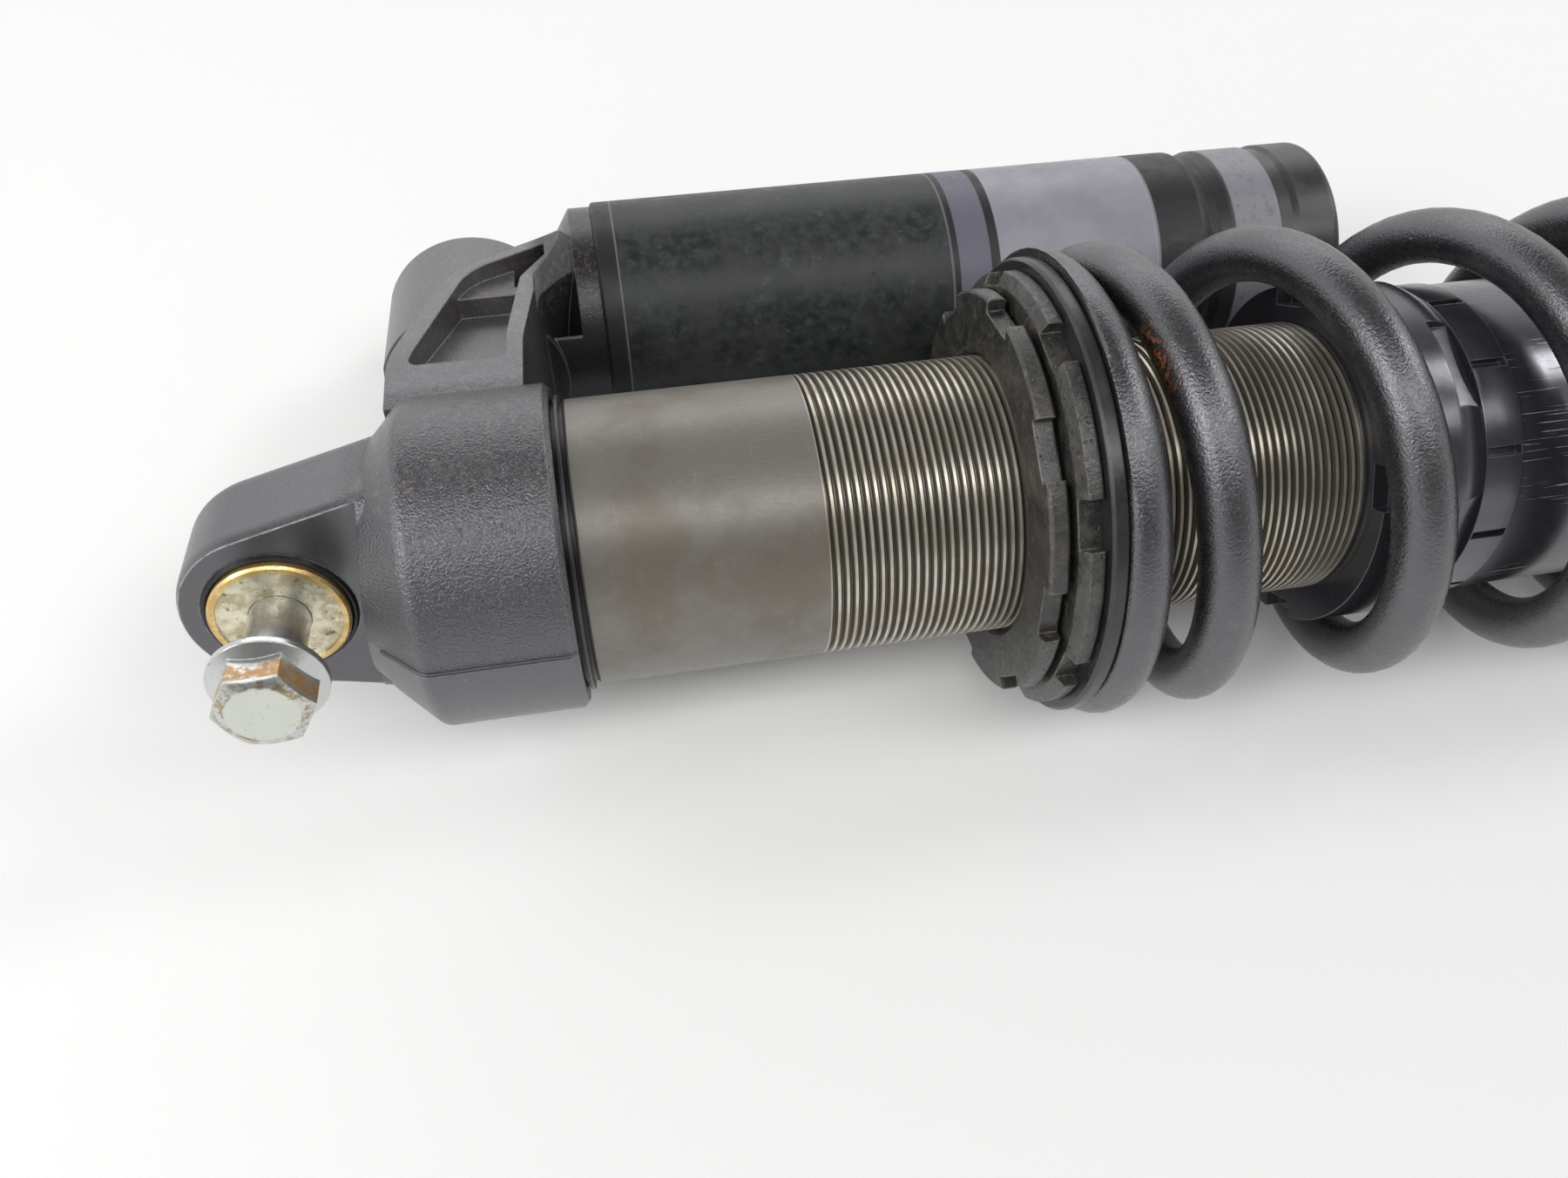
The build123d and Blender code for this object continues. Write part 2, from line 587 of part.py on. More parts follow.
def dust_seals(outer, inner, start, face):
    """A rounded rubber ring at each mouth of an eye, its lip standing out of the face."""
    lip = face + SEAL_LIP
    bulge = SEAL_LIP / 2
    side = [(start, inner + FIT), (start, outer), (face, outer), (lip, outer - bulge), (lip, inner + bulge)]
    near = along_z(turned(*side, (lip - bulge, inner + FIT)))
    return near + mirror(near, Plane.XY)


def pivot_sleeve(outer, bore, half_length):
    """Hardened sleeve with chamfered ends, each dished inside a raised lip."""
    edge = SLEEVE_EDGE
    dish = half_length - SLEEVE_DISH_DEPTH
    dish_r = outer - SLEEVE_LIP
    return along_z(
        turned(
            (-dish, bore),
            (-dish, dish_r),
            (-half_length, dish_r),
            (-half_length, outer - edge),
            (edge - half_length, outer),
            (half_length - edge, outer),
            (half_length, outer - edge),
            (half_length, dish_r),
            (dish, dish_r),
            (dish, bore),
        )
    )


def upper_bush():
    return bearing_bush(BEARING_R, SLEEVE_R, BEARING_HALF_LENGTH)


def upper_seals():
    return dust_seals(BEARING_R, SLEEVE_R, BEARING_HALF_LENGTH, LUG_HALF_WIDTH)


def upper_sleeve():
    return pivot_sleeve(SLEEVE_R, BOLT_R + FIT, SLEEVE_HALF_LENGTH)


def mounting_bolt():
    """Flanged hexagon bolt, drawn part of the way out of the sleeve."""
    seat = SLEEVE_HALF_LENGTH + BOLT_STANDOFF
    flange_top = seat + BOLT_FLANGE_HEIGHT
    hex_r = BOLT_HEX_ACROSS / 2
    head_top = seat + BOLT_HEAD_HEIGHT
    turned_part = turned(
        (seat - BOLT_SHANK, 0),
        (seat - BOLT_SHANK, BOLT_R - EDGE),
        (seat - BOLT_SHANK + EDGE, BOLT_R),
        (seat, BOLT_R),
        (seat, BOLT_FLANGE_R),
        (seat + BOLT_FLANGE_EDGE, BOLT_FLANGE_R),
        (flange_top, hex_r),
        (flange_top, 0),
    )
    corner_r = BOLT_HEX_ACROSS / math.sqrt(3)
    bar = Pos(seat, 0, 0) * Rot(0, 90, 0) * extrude(RegularPolygon(corner_r, 6), BOLT_HEAD_HEIGHT)
    turned_off = head_top - (corner_r - BOLT_TOP_R) / 2
    relief = [(seat, corner_r), (turned_off, corner_r), (head_top, BOLT_TOP_R)]
    blank = turned((seat, 0), *relief, (head_top, 0))
    return along_z(turned_part + (bar & blank))


# ---- Damper body ---------------------------------------------------------------------------------------
def body_tube():
    groove_x = SEAL_HEAD_END_X
    groove_r = TUBE_BORE_R + RETAINER_GROOVE
    outside = turned(
        (TUBE_START_X, 0),
        (TUBE_START_X, TUBE_R),
        (CUP_FACE_X, TUBE_R),
        (CUP_FACE_X, NECK_R),
        (NECK_END_X, NECK_R),
        (NECK_END_X, TUBE_R - NECK_CHAMFER),
        (NECK_END_X + NECK_CHAMFER, TUBE_R),
        (TUBE_END_X, TUBE_R),
        (TUBE_END_X, 0),
    )
    bore = tube(TUBE_START_X, TUBE_END_X, TUBE_BORE_R)
    return outside - bore - tube(groove_x, groove_x + RETAINER_DEPTH, groove_r)


# ---- Reservoir ---------------------------------------------------------------------------------------
def at_reservoir(shape):
    return Pos(0, RESERVOIR_Y, RESERVOIR_Z) * shape


def reservoir_tube():
    outline = turned(
        (HEAD_JOINT_X, RESERVOIR_BORE_R),
        (HEAD_JOINT_X, RESERVOIR_R - NECK_CHAMFER),
        (HEAD_JOINT_X + NECK_CHAMFER, RESERVOIR_R),
        (RESERVOIR_SHOULDER_X, RESERVOIR_R),
        (RESERVOIR_WAIST_X, RESERVOIR_WAIST_R),
        (RESERVOIR_END_X, RESERVOIR_WAIST_R),
        (RESERVOIR_END_X, RESERVOIR_BORE_R),
    )
    shoulder = outline.edges().filter_by(lambda e: abs(e.center().X - RESERVOIR_SHOULDER_X) < FIT)
    return at_reservoir(fillet(shoulder, COVER_ROUND))


def head_o_ring():
    radius = RESERVOIR_BORE_R - O_RING_R
    return at_reservoir(o_ring(HEAD_JOINT_X + HEAD_SPIGOT / 2, radius, O_RING_R - TOUCH))


def plug_groove_x():
    return RESERVOIR_END_X - PLUG_SPIGOT / 2


def reservoir_plug():
    """Metal plug in the reservoir's far end, whose outer band stays in view."""
    groove_x = plug_groove_x()
    groove_r = RESERVOIR_BORE_R - 2 * O_RING_R
    outline = turned(
        (RESERVOIR_END_X - PLUG_SPIGOT, VALVE_STEM_R + TOUCH),
        (RESERVOIR_END_X - PLUG_SPIGOT, RESERVOIR_BORE_R - TOUCH),
        (RESERVOIR_END_X, RESERVOIR_BORE_R - TOUCH),
        (RESERVOIR_END_X, RESERVOIR_WAIST_R - TOUCH),
        (PLUG_BAND_X, PLUG_BAND_R),
        (PLUG_BAND_END_X, PLUG_BAND_R),
        (PLUG_BAND_END_X, VALVE_STEM_R + TOUCH),
    )
    return at_reservoir(outline - tube(groove_x - O_RING_R, groove_x + O_RING_R, RESERVOIR_R, groove_r))


def plug_o_ring():
    return at_reservoir(o_ring(plug_groove_x(), RESERVOIR_BORE_R - O_RING_R, O_RING_R - TOUCH))


def reservoir_cover():
    """Black plastic cap over the plug, hollow behind its end wall, with a hole for the gas valve."""
    outline = turned(
        (PLUG_BAND_END_X, 0),
        (PLUG_BAND_END_X, COVER_STEP_R),
        (COVER_STEP_X, COVER_STEP_R),
        (COVER_STEP_X + EDGE, COVER_R),
        (COVER_END_X, COVER_R),
        (COVER_END_X, 0),
    )
    end_edges = outline.edges().filter_by(lambda e: abs(e.center().X - COVER_END_X) < FIT)
    outline = fillet(end_edges.filter_by(lambda e: e.length > COVER_R), COVER_ROUND)
    hollow = tube(PLUG_BAND_END_X, COVER_END_X - COVER_WALL, COVER_STEP_R - COVER_WALL)
    valve_hole = tube(PLUG_BAND_END_X, COVER_END_X, VALVE_CAP_R + GAP)
    return at_reservoir(outline - hollow - valve_hole)


def gas_valve():
    """Valve stem screwed into the plug, with its hexagon against it."""
    stem = tube(RESERVOIR_END_X - PLUG_SPIGOT - VALVE_STEM_FOOT, VALVE_STEM_END_X, VALVE_STEM_R)
    nut = hexagon(PLUG_BAND_END_X, PLUG_BAND_END_X + VALVE_NUT_LENGTH, VALVE_NUT_ACROSS)
    return at_reservoir(stem + nut)


def valve_cap():
    """Dust cap over the valve stem."""
    start = PLUG_BAND_END_X + VALVE_NUT_LENGTH + GAP
    end = start + VALVE_CAP_LENGTH
    crown = [(end - EDGE, VALVE_CAP_R), (end, VALVE_CAP_R - EDGE)]
    outline = turned((start, 0), (start, VALVE_CAP_R), *crown, (end, 0))
    return at_reservoir(outline - tube(start, VALVE_STEM_END_X + TOUCH, VALVE_STEM_R + TOUCH))


def floating_piston():
    """Piston between oil and gas, hollow on its gas side, with a band groove round its skirt."""
    outer = RESERVOIR_BORE_R - FIT
    end = FLOAT_X + FLOAT_LENGTH
    groove_x = FLOAT_X + FLOAT_CROWN
    blank = turned(
        (FLOAT_X, 0),
        (FLOAT_X, outer - GAP),
        (FLOAT_X + GAP, outer),
        (end, outer),
        (end, outer - FLOAT_WALL),
        (groove_x, outer - FLOAT_WALL),
        (groove_x, 0),
    )
    return at_reservoir(blank - float_groove())


def float_groove():
    middle = FLOAT_X + FLOAT_CROWN / 2
    return tube(middle - O_RING_R, middle + O_RING_R, RESERVOIR_R, RESERVOIR_BORE_R - FIT - 2 * O_RING_R)


def float_o_ring():
    radius = RESERVOIR_BORE_R - FIT - O_RING_R
    return at_reservoir(o_ring(FLOAT_X + FLOAT_CROWN / 2, radius, O_RING_R - TOUCH))


# ---- Compression adjuster --------------------------------------------------------------------------------
def at_boss(shape):
    """Places a piece drawn along X, from the boss's far face outward to -X, on the boss's axis."""
    return Pos(BOSS_X, RESERVOIR_Y, BOSS_FAR_Z) * along_z(shape)


def compression_valve():
    """Valve cartridge: hexagon plug, threaded body and a slotted cage over the oil way."""
    plug = mirror(hexagon(0, COMPRESSION_PLUG_HEIGHT, COMPRESSION_PLUG_ACROSS), Plane.YZ)
    cage_end = VALVE_BORE_DEPTH - GAP
    cage_r = VALVE_BORE_R - CAGE_INSET
    body = turned(
        (0, 0),
        (0, VALVE_BORE_R - TOUCH),
        (VALVE_BODY_LENGTH, VALVE_BORE_R - TOUCH),
        (CAGE_START, cage_r),
        (cage_end, cage_r),
        (cage_end, 0),
    )
    slots = notch_cutters(*CAGE_SLOT, VALVE_BORE_R / 2, CAGE_SLOT_WIDTH, CAGE_SLOTS, 0)
    shaft_hole = tube(-COMPRESSION_PLUG_HEIGHT, COMPRESSION_PLUG_HEIGHT, KNOB_SHAFT_R + FIT)
    return at_boss(plug + (body - slots) - shaft_hole)


def clicker_knob(shaft_start, start):
    """Clicker knob on its shaft, with finger flutes and a screwdriver slot."""
    end = start + KNOB_HEIGHT
    blank = turned(
        (start, 0), (start, KNOB_R), (end - KNOB_EDGE, KNOB_R), (end, KNOB_R - KNOB_EDGE), (end, 0)
    )
    middle = Pos((start + end) / 2, KNOB_R + KNOB_FLUTE_R / 2, 0)
    flute = middle * Rot(0, 90, 0) * Cylinder(KNOB_FLUTE_R, KNOB_HEIGHT)
    flutes = [about_x(flute, FULL_TURN * i / KNOB_FLUTES) for i in range(KNOB_FLUTES)]
    slot = Pos(end, 0, 0) * Box(2 * KNOB_SLOT_DEPTH, KNOB_SLOT_LENGTH, KNOB_SLOT_WIDTH)
    return blank - flutes - slot + tube(shaft_start, start, KNOB_SHAFT_R)


def compression_knob():
    shaft_start = GAP - COMPRESSION_PLUG_HEIGHT
    return at_boss(mirror(clicker_knob(shaft_start, COMPRESSION_PLUG_HEIGHT + GAP), Plane.YZ))


# ---- Preload rings and spring seat ---------------------------------------------------------------------
def threaded_bore(start, end):
    """Bore that runs on the body's thread, with a lead-in at each end."""
    bore_r = TUBE_R + FIT
    lead = THREAD_LEAD_IN
    return turned(
        (start, 0),
        (start, bore_r + lead),
        (start + lead, bore_r),
        (end - lead, bore_r),
        (end, bore_r + lead),
        (end, 0),
    )


def lock_ring():
    """Castellated ring that locks the preload ring, touching it with a raised hub."""
    end = LOCK_X + LOCK_THICK
    blank = turned(
        (LOCK_X, 0),
        (LOCK_X, LOCK_R - RING_EDGE),
        (LOCK_X + RING_EDGE, LOCK_R),
        (end - RING_EDGE, LOCK_R),
        (end, LOCK_R - RING_EDGE),
        (end, RING_HUB_R),
        (PRELOAD_X, RING_HUB_R),
        (PRELOAD_X, 0),
    )
    cutters = notch_cutters(LOCK_X, PRELOAD_X, LOCK_NOTCH_R, LOCK_NOTCH_WIDTH, RING_NOTCHES, LOCK_NOTCH_ANGLE)
    return blank - cutters - threaded_bore(LOCK_X, PRELOAD_X)


def preload_ring():
    """Castellated ring that carries the spring seat, bevelled in front and stepped behind."""
    land_end = SEAT_X - RING_EDGE
    bevel_r = PRELOAD_R - 2 * PRELOAD_BEVEL
    blank = turned(
        (PRELOAD_X, 0),
        (PRELOAD_X, bevel_r),
        (PRELOAD_X + PRELOAD_BEVEL, PRELOAD_R),
        (land_end, PRELOAD_R),
        (SEAT_X, PRELOAD_R - RING_EDGE),
        (SEAT_X, 0),
    )
    cutters = notch_cutters(
        PRELOAD_X, SEAT_X, PRELOAD_NOTCH_R, PRELOAD_NOTCH_WIDTH, RING_NOTCHES, PRELOAD_NOTCH_ANGLE
    )
    return blank - cutters - threaded_bore(PRELOAD_X, SEAT_X)


def spring_seat():
    """Smooth collar that the tender spring sits on, with a spigot inside its first turn."""
    spigot_r = TENDER_BORE_R - SPIGOT_CLEARANCE
    spigot_end = SEAT_FACE_X + SEAT_SPIGOT
    return turned(
        (SEAT_X, TUBE_R + FIT),
        (SEAT_X, SEAT_R - RING_EDGE),
        (SEAT_X + RING_EDGE, SEAT_R),
        (SEAT_FACE_X - RING_EDGE, SEAT_R),
        (SEAT_FACE_X, SEAT_R - RING_EDGE),
        (SEAT_FACE_X, spigot_r),
        (spigot_end - EDGE, spigot_r),
        (spigot_end, spigot_r - EDGE),
        (spigot_end, TUBE_R + FIT),
    )


# ---- Crossover ---------------------------------------------------------------------------------------
def crossover_collar():
    """Collar at the head of the crossover sleeve: spanner notches in front, a castellated dome behind."""
    end = COLLAR_X + COLLAR_LENGTH
    dome_x = end - COLLAR_DOME
    dome_r = COLLAR_R - COLLAR_DOME_FALL
    profile = make_face(
        [
            Line((COLLAR_X, TUBE_R + FIT), (COLLAR_X, COLLAR_R)),
            Line((COLLAR_X, COLLAR_R), (dome_x, COLLAR_R)),
            RadiusArc((dome_x, COLLAR_R), (end, dome_r), COLLAR_DOME_BEND),
            Line((end, dome_r), (end, TUBE_R + FIT)),
            Line((end, TUBE_R + FIT), (COLLAR_X, TUBE_R + FIT)),
        ]
    )
    collar = revolve(profile, Axis.X)
    notch_end = COLLAR_X + SPANNER_NOTCH_DEPTH
    front = notch_cutters(
        COLLAR_X - GAP, notch_end, COLLAR_NOTCH_R, SPANNER_NOTCH_WIDTH, SPANNER_NOTCHES, SPANNER_NOTCH_ANGLE
    )
    tooth_gap = math.pi * COLLAR_R / COLLAR_TEETH
    gap_angle = COLLAR_TOOTH_ANGLE + FULL_TURN / (2 * COLLAR_TEETH)
    back = notch_cutters(end - COLLAR_CROWN, end + GAP, COLLAR_NOTCH_R, tooth_gap, COLLAR_TEETH, gap_angle)
    return collar - front - back


def coupler_sleeve():
    """Plastic guide sleeve with a slit band at its head, running on the body tube under both springs."""
    start = COLLAR_X + COLLAR_LENGTH
    band_end = start + COUPLER_BAND
    end = MAIN_TOP_X + FLANGE_SPIGOT
    outline = turned(
        (start, TUBE_R + FIT),
        (start, COUPLER_BAND_R),
        (band_end, COUPLER_BAND_R),
        (band_end, COUPLER_R),
        (end, COUPLER_R),
        (end, TUBE_R + FIT),
    )
    slits = notch_cutters(
        start + GAP, band_end - GAP, COUPLER_BAND_R - SLIT_DEPTH, SLIT_WIDTH, SLITS, SLIT_ANGLE
    )
    return outline - slits


def coupler_flange():
    """Flange between the springs, with a spigot into each."""
    bore_r = COUPLER_R + TOUCH
    upper_r = TENDER_BORE_R - SPIGOT_CLEARANCE
    lower_r = MAIN_BORE_R - SPIGOT_CLEARANCE
    return turned(
        (FLANGE_X - FLANGE_SPIGOT, bore_r),
        (FLANGE_X - FLANGE_SPIGOT, upper_r),
        (FLANGE_X, upper_r),
        (FLANGE_X, SEAT_R - RING_EDGE),
        (FLANGE_X + RING_EDGE, SEAT_R),
        (MAIN_TOP_X - RING_EDGE, SEAT_R),
        (MAIN_TOP_X, SEAT_R - RING_EDGE),
        (MAIN_TOP_X, lower_r),
        (MAIN_TOP_X + FLANGE_SPIGOT, lower_r),
        (MAIN_TOP_X + FLANGE_SPIGOT, bore_r),
    )


# ---- Seal head -----------------------------------------------------------------------------------------
def seal_head_groove_x():
    return SEAL_HEAD_X + HEAD_LENGTH / 2


def seal_head():
    """Guide of the rod, stepped for its bushing and its seal, grooved for its O-ring."""
    seal_x = SEAL_HEAD_END_X - HEAD_SEAL_DEPTH
    groove_x = seal_head_groove_x()
    blank = turned(
        (SEAL_HEAD_X, BUSHING_R + TOUCH),
        (SEAL_HEAD_X, TUBE_BORE_R - TOUCH - EDGE),
        (SEAL_HEAD_X + EDGE, TUBE_BORE_R - TOUCH),
        (SEAL_HEAD_END_X, TUBE_BORE_R - TOUCH),
        (SEAL_HEAD_END_X, ROD_SEAL_R + TOUCH),
        (seal_x, ROD_SEAL_R + TOUCH),
        (seal_x, BUSHING_R + TOUCH),
    )
    return blank - tube(groove_x - O_RING_R, groove_x + O_RING_R, TUBE_R, TUBE_BORE_R - 2 * O_RING_R)


def seal_head_o_ring():
    return o_ring(seal_head_groove_x(), TUBE_BORE_R - O_RING_R, O_RING_R - TOUCH)


def rod_bushing():
    return tube(SEAL_HEAD_X, SEAL_HEAD_END_X - HEAD_SEAL_DEPTH, BUSHING_R, ROD_R + FIT)


def rod_seal():
    """Lip seal: a U section that hugs the rod."""
    start = SEAL_HEAD_END_X - HEAD_SEAL_DEPTH
    end = SEAL_HEAD_END_X
    inner = ROD_R + FIT
    middle = (inner + ROD_SEAL_R) / 2
    return turned(
        (start, inner),
        (start, inner + EDGE),
        (start + ROD_SEAL_HOLLOW, middle),
        (start, ROD_SEAL_R - EDGE),
        (start, ROD_SEAL_R),
        (end, ROD_SEAL_R),
        (end, inner),
    )


def retaining_ring():
    """Spring ring in the tube's groove, open at one side."""
    outer = TUBE_BORE_R + RETAINER_GROOVE
    ring = tube(SEAL_HEAD_END_X, SEAL_HEAD_END_X + RETAINER_DEPTH, outer, outer - RETAINER_WIDTH)
    return ring - notch_cutters(SEAL_HEAD_X, TUBE_END_X, 0, RETAINER_MOUTH, 1, 0)


def dust_cap():
    """Aluminium cap over the tube's end, bored for the wiper."""
    spigot_x = TUBE_END_X - DUST_CAP_SPIGOT
    return turned(
        (spigot_x, ROD_SEAL_R),
        (spigot_x, TUBE_BORE_R - TOUCH),
        (TUBE_END_X, TUBE_BORE_R - TOUCH),
        (TUBE_END_X, TUBE_R),
        (DUST_CAP_END_X - EDGE, TUBE_R),
        (DUST_CAP_END_X, TUBE_R - EDGE),
        (DUST_CAP_END_X, ROD_SEAL_R),
    )


def rod_wiper():
    """Rubber wiper in the dust cap, its lip leaning out along the rod."""
    inner = ROD_R + FIT
    return turned(
        (TUBE_END_X - DUST_CAP_SPIGOT, inner + EDGE),
        (TUBE_END_X - DUST_CAP_SPIGOT, ROD_SEAL_R),
        (DUST_CAP_END_X - EDGE, ROD_SEAL_R),
        (DUST_CAP_END_X, inner + EDGE),
        (DUST_CAP_END_X, inner),
        (DUST_CAP_END_X - 2 * EDGE, inner),
    )


# ---- Rod and piston --------------------------------------------------------------------------------------
def rod():
    """Hollow damper rod: turned down through the piston, threaded into the lower eye."""
    shoulder_x = PISTON_END_X
    end = rod_end_x()
    return turned(
        (PISTON_NUT_X - ROD_TIP, ROD_BORE_R),
        (PISTON_NUT_X - ROD_TIP, ROD_TIP_R),
        (shoulder_x, ROD_TIP_R),
        (shoulder_x, ROD_R),
        (end, ROD_R),
        (end, ROD_BORE_R),
    )


def rod_end_x():
    return REBOUND_X - KNOB_SHAFT_R - EDGE


def rebound_rod():
    """Needle rod inside the damper rod, tapered where it meters the oil."""
    radius = ROD_BORE_R - GAP
    start = PISTON_NUT_X
    end = rod_end_x()
    return turned(
        (start, 0), (start, NEEDLE_TIP_R), (start + NEEDLE_TAPER, radius), (end, radius), (end, 0)
    )


def piston():
    """Damper piston with axial ports and a groove for its band."""
    outer = TUBE_BORE_R - GAP
    end = PISTON_X + PISTON_LENGTH
    middle = PISTON_X + PISTON_LENGTH / 2
    blank = turned(
        (PISTON_X, ROD_TIP_R + TOUCH),
        (PISTON_X, outer - EDGE),
        (PISTON_X + EDGE, outer),
        (end - EDGE, outer),
        (end, outer - EDGE),
        (end, ROD_TIP_R + TOUCH),
    )
    groove = tube(middle - PISTON_BAND / 2, middle + PISTON_BAND / 2, TUBE_R, outer - PISTON_GROOVE)
    port = Pos(0, PISTON_PORT_CIRCLE_R, 0) * tube(PISTON_X, end, PISTON_PORT_R)
    ports = [about_x(port, FULL_TURN * i / PISTON_PORTS) for i in range(PISTON_PORTS)]
    return blank - groove - ports


def piston_band():
    middle = PISTON_X + PISTON_LENGTH / 2
    inner = TUBE_BORE_R - GAP - PISTON_GROOVE + TOUCH
    return tube(middle - PISTON_BAND / 2, middle + PISTON_BAND / 2, TUBE_BORE_R - FIT, inner)


def shim_stack(start, step):
    """Valve shims, the widest against the piston, getting smaller one by one along step."""
    outline = [(start, ROD_TIP_R + TOUCH)]
    for i, radius in enumerate(SHIM_RADII):
        outline += [(start + i * step, radius), (start + (i + 1) * step, radius)]
    outline.append((start + len(SHIM_RADII) * step, ROD_TIP_R + TOUCH))
    return turned(*outline)


def compression_shims():
    return shim_stack(PISTON_X + PISTON_LENGTH, SHIM)


def rebound_shims():
    return shim_stack(PISTON_X, -SHIM)


def piston_nut():
    end = PISTON_NUT_X + PISTON_NUT_LENGTH
    nut = hexagon(PISTON_NUT_X, end, PISTON_NUT_ACROSS)
    return nut - tube(PISTON_NUT_X, end, ROD_TIP_R + TOUCH)


def top_out_bumper():
    """Rubber buffer that meets the seal head at full extension."""
    start = PISTON_END_X
    end = start + TOP_OUT_LENGTH
    middle = (start + end) / 2
    inner = ROD_R + TOUCH
    return turned(
        (start, inner),
        (start, TOP_OUT_R),
        (middle - TOP_OUT_WAIST_HALF, TOP_OUT_R),
        (middle, TOP_OUT_R - TOP_OUT_WAIST),
        (middle + TOP_OUT_WAIST_HALF, TOP_OUT_R),
        (end, TOP_OUT_R),
        (end, inner),
    )


# ---- Lower end ----------------------------------------------------------------------------------------
def bump_stop():
    """Ribbed foam buffer on the rod."""
    end = BUMP_CUP_X
    inner = ROD_R + TOUCH
    first_x, waist_x, second_x = (BUMP_STOP_X + (end - BUMP_STOP_X) * share for share in BUMP_STOP_RIBS)
    return turned(
        (BUMP_STOP_X, inner),
        (BUMP_STOP_X, BUMP_STOP_WAIST_R - EDGE),
        (first_x, BUMP_STOP_R),
        (waist_x, BUMP_STOP_WAIST_R),
        (second_x, BUMP_STOP_R),
        (end, BUMP_STOP_R),
        (end, inner),
    )


def bump_cup():
    """Dished washer under the bump stop."""
    lip_x = BUMP_CUP_X - BUMP_CUP_THICK
    return turned(
        (BUMP_CUP_X, ROD_R + TOUCH),
        (BUMP_CUP_X, BUMP_STOP_R + EDGE),
        (lip_x, BUMP_STOP_R + 2 * EDGE),
        (lip_x, BUMP_CUP_R),
        (RETAINER_X, BUMP_CUP_R),
        (RETAINER_X, ROD_R + TOUCH),
    )


def lower_retainer():
    """Slotted spring retainer, slot up: the slot passes the rod, its bore then drops over the eye's neck."""
    spigot_r = MAIN_BORE_R - SPIGOT_CLEARANCE
    spigot_x = RETAINER_X - RETAINER_SPIGOT
    neck_bore = EYE_NECK_R + FIT
    cup_bore = BUMP_CUP_R + GAP
    blank = turned(
        (spigot_x, cup_bore),
        (spigot_x, spigot_r - EDGE),
        (spigot_x + EDGE, spigot_r),
        (RETAINER_X, spigot_r),
        (RETAINER_X, SEAT_R - RING_EDGE),
        (RETAINER_X + RING_EDGE, SEAT_R),
        (EYE_SHOULDER_X - EDGE, SEAT_R),
        (EYE_SHOULDER_X, SEAT_R - EDGE),
        (EYE_SHOULDER_X, neck_bore),
        (RETAINER_X + GAP, neck_bore),
        (RETAINER_X, cup_bore),
    )
    slot = notch_cutters(spigot_x - EDGE, EYE_SHOULDER_X + EDGE, 0, RETAINER_SLOT, 1, 90 - roll_angle())
    return blank - slot


def lower_eye():
    """Forged lower eye: neck, shoulder under the retainer, tapering into the eye, with the clicker boss."""
    shoulder_end = EYE_SHOULDER_X + EYE_SHOULDER
    neck = turned(
        (RETAINER_X, 0),
        (RETAINER_X, EYE_NECK_R),
        (EYE_SHOULDER_X, EYE_NECK_R),
        (EYE_SHOULDER_X, EYE_SHOULDER_R),
        (shoulder_end - EYE_SHOULDER_EDGE, EYE_SHOULDER_R),
        (shoulder_end, EYE_SHOULDER_R - EYE_SHOULDER_EDGE),
        (REBOUND_X + REBOUND_TAPER, LOWER_EYE_HALF_WIDTH),
        (REBOUND_X + REBOUND_TAPER, 0),
    )
    eye = extrude(Circle(LOWER_EYE_R), LOWER_EYE_HALF_WIDTH, both=True)
    rims = eye.edges().filter_by(lambda e: abs(abs(e.center().Z) - LOWER_EYE_HALF_WIDTH) < FIT)
    eye = fillet(rims, LOWER_EYE_ROUND)
    web_length = EYE_TO_EYE - shoulder_end + EDGE
    web = Pos(-web_length / 2, 0, 0) * Box(web_length, LOWER_WEB_HEIGHT, 2 * LOWER_EYE_HALF_WIDTH)
    web = fillet(web.edges().filter_by(Axis.X), LOWER_WEB_ROUND)
    boss = Pos(REBOUND_X, 0, REBOUND_BOSS_Z / 2) * Cylinder(REBOUND_BOSS_R, REBOUND_BOSS_Z)
    body = neck + Pos(EYE_TO_EYE, 0, 0) * (eye + web) + boss
    rod_hole = tube(RETAINER_X, rod_end_x(), ROD_R + TOUCH)
    knob_hole = Pos(REBOUND_X, 0, REBOUND_BOSS_Z / 2) * Cylinder(KNOB_SHAFT_R + FIT, REBOUND_BOSS_Z)
    return body - Pos(EYE_TO_EYE, 0, 0) * Cylinder(LOWER_BEARING_R, FAR) - rod_hole - knob_hole


def at_lower_eye(shape):
    return Pos(EYE_TO_EYE, 0, 0) * shape


def lower_bush():
    half_length = LOWER_EYE_HALF_WIDTH - LOWER_BUSH_INSET
    return at_lower_eye(bearing_bush(LOWER_BEARING_R, LOWER_SLEEVE_R, half_length))


def lower_seals():
    start = LOWER_EYE_HALF_WIDTH - LOWER_BUSH_INSET
    return at_lower_eye(dust_seals(LOWER_BEARING_R, LOWER_SLEEVE_R, start, LOWER_EYE_HALF_WIDTH))


def lower_sleeve():
    return at_lower_eye(pivot_sleeve(LOWER_SLEEVE_R, LOWER_BOLT_R, LOWER_SLEEVE_HALF_LENGTH))


def rebound_knob():
    return Pos(REBOUND_X, 0, 0) * along_z(clicker_knob(GAP, REBOUND_BOSS_Z + GAP))


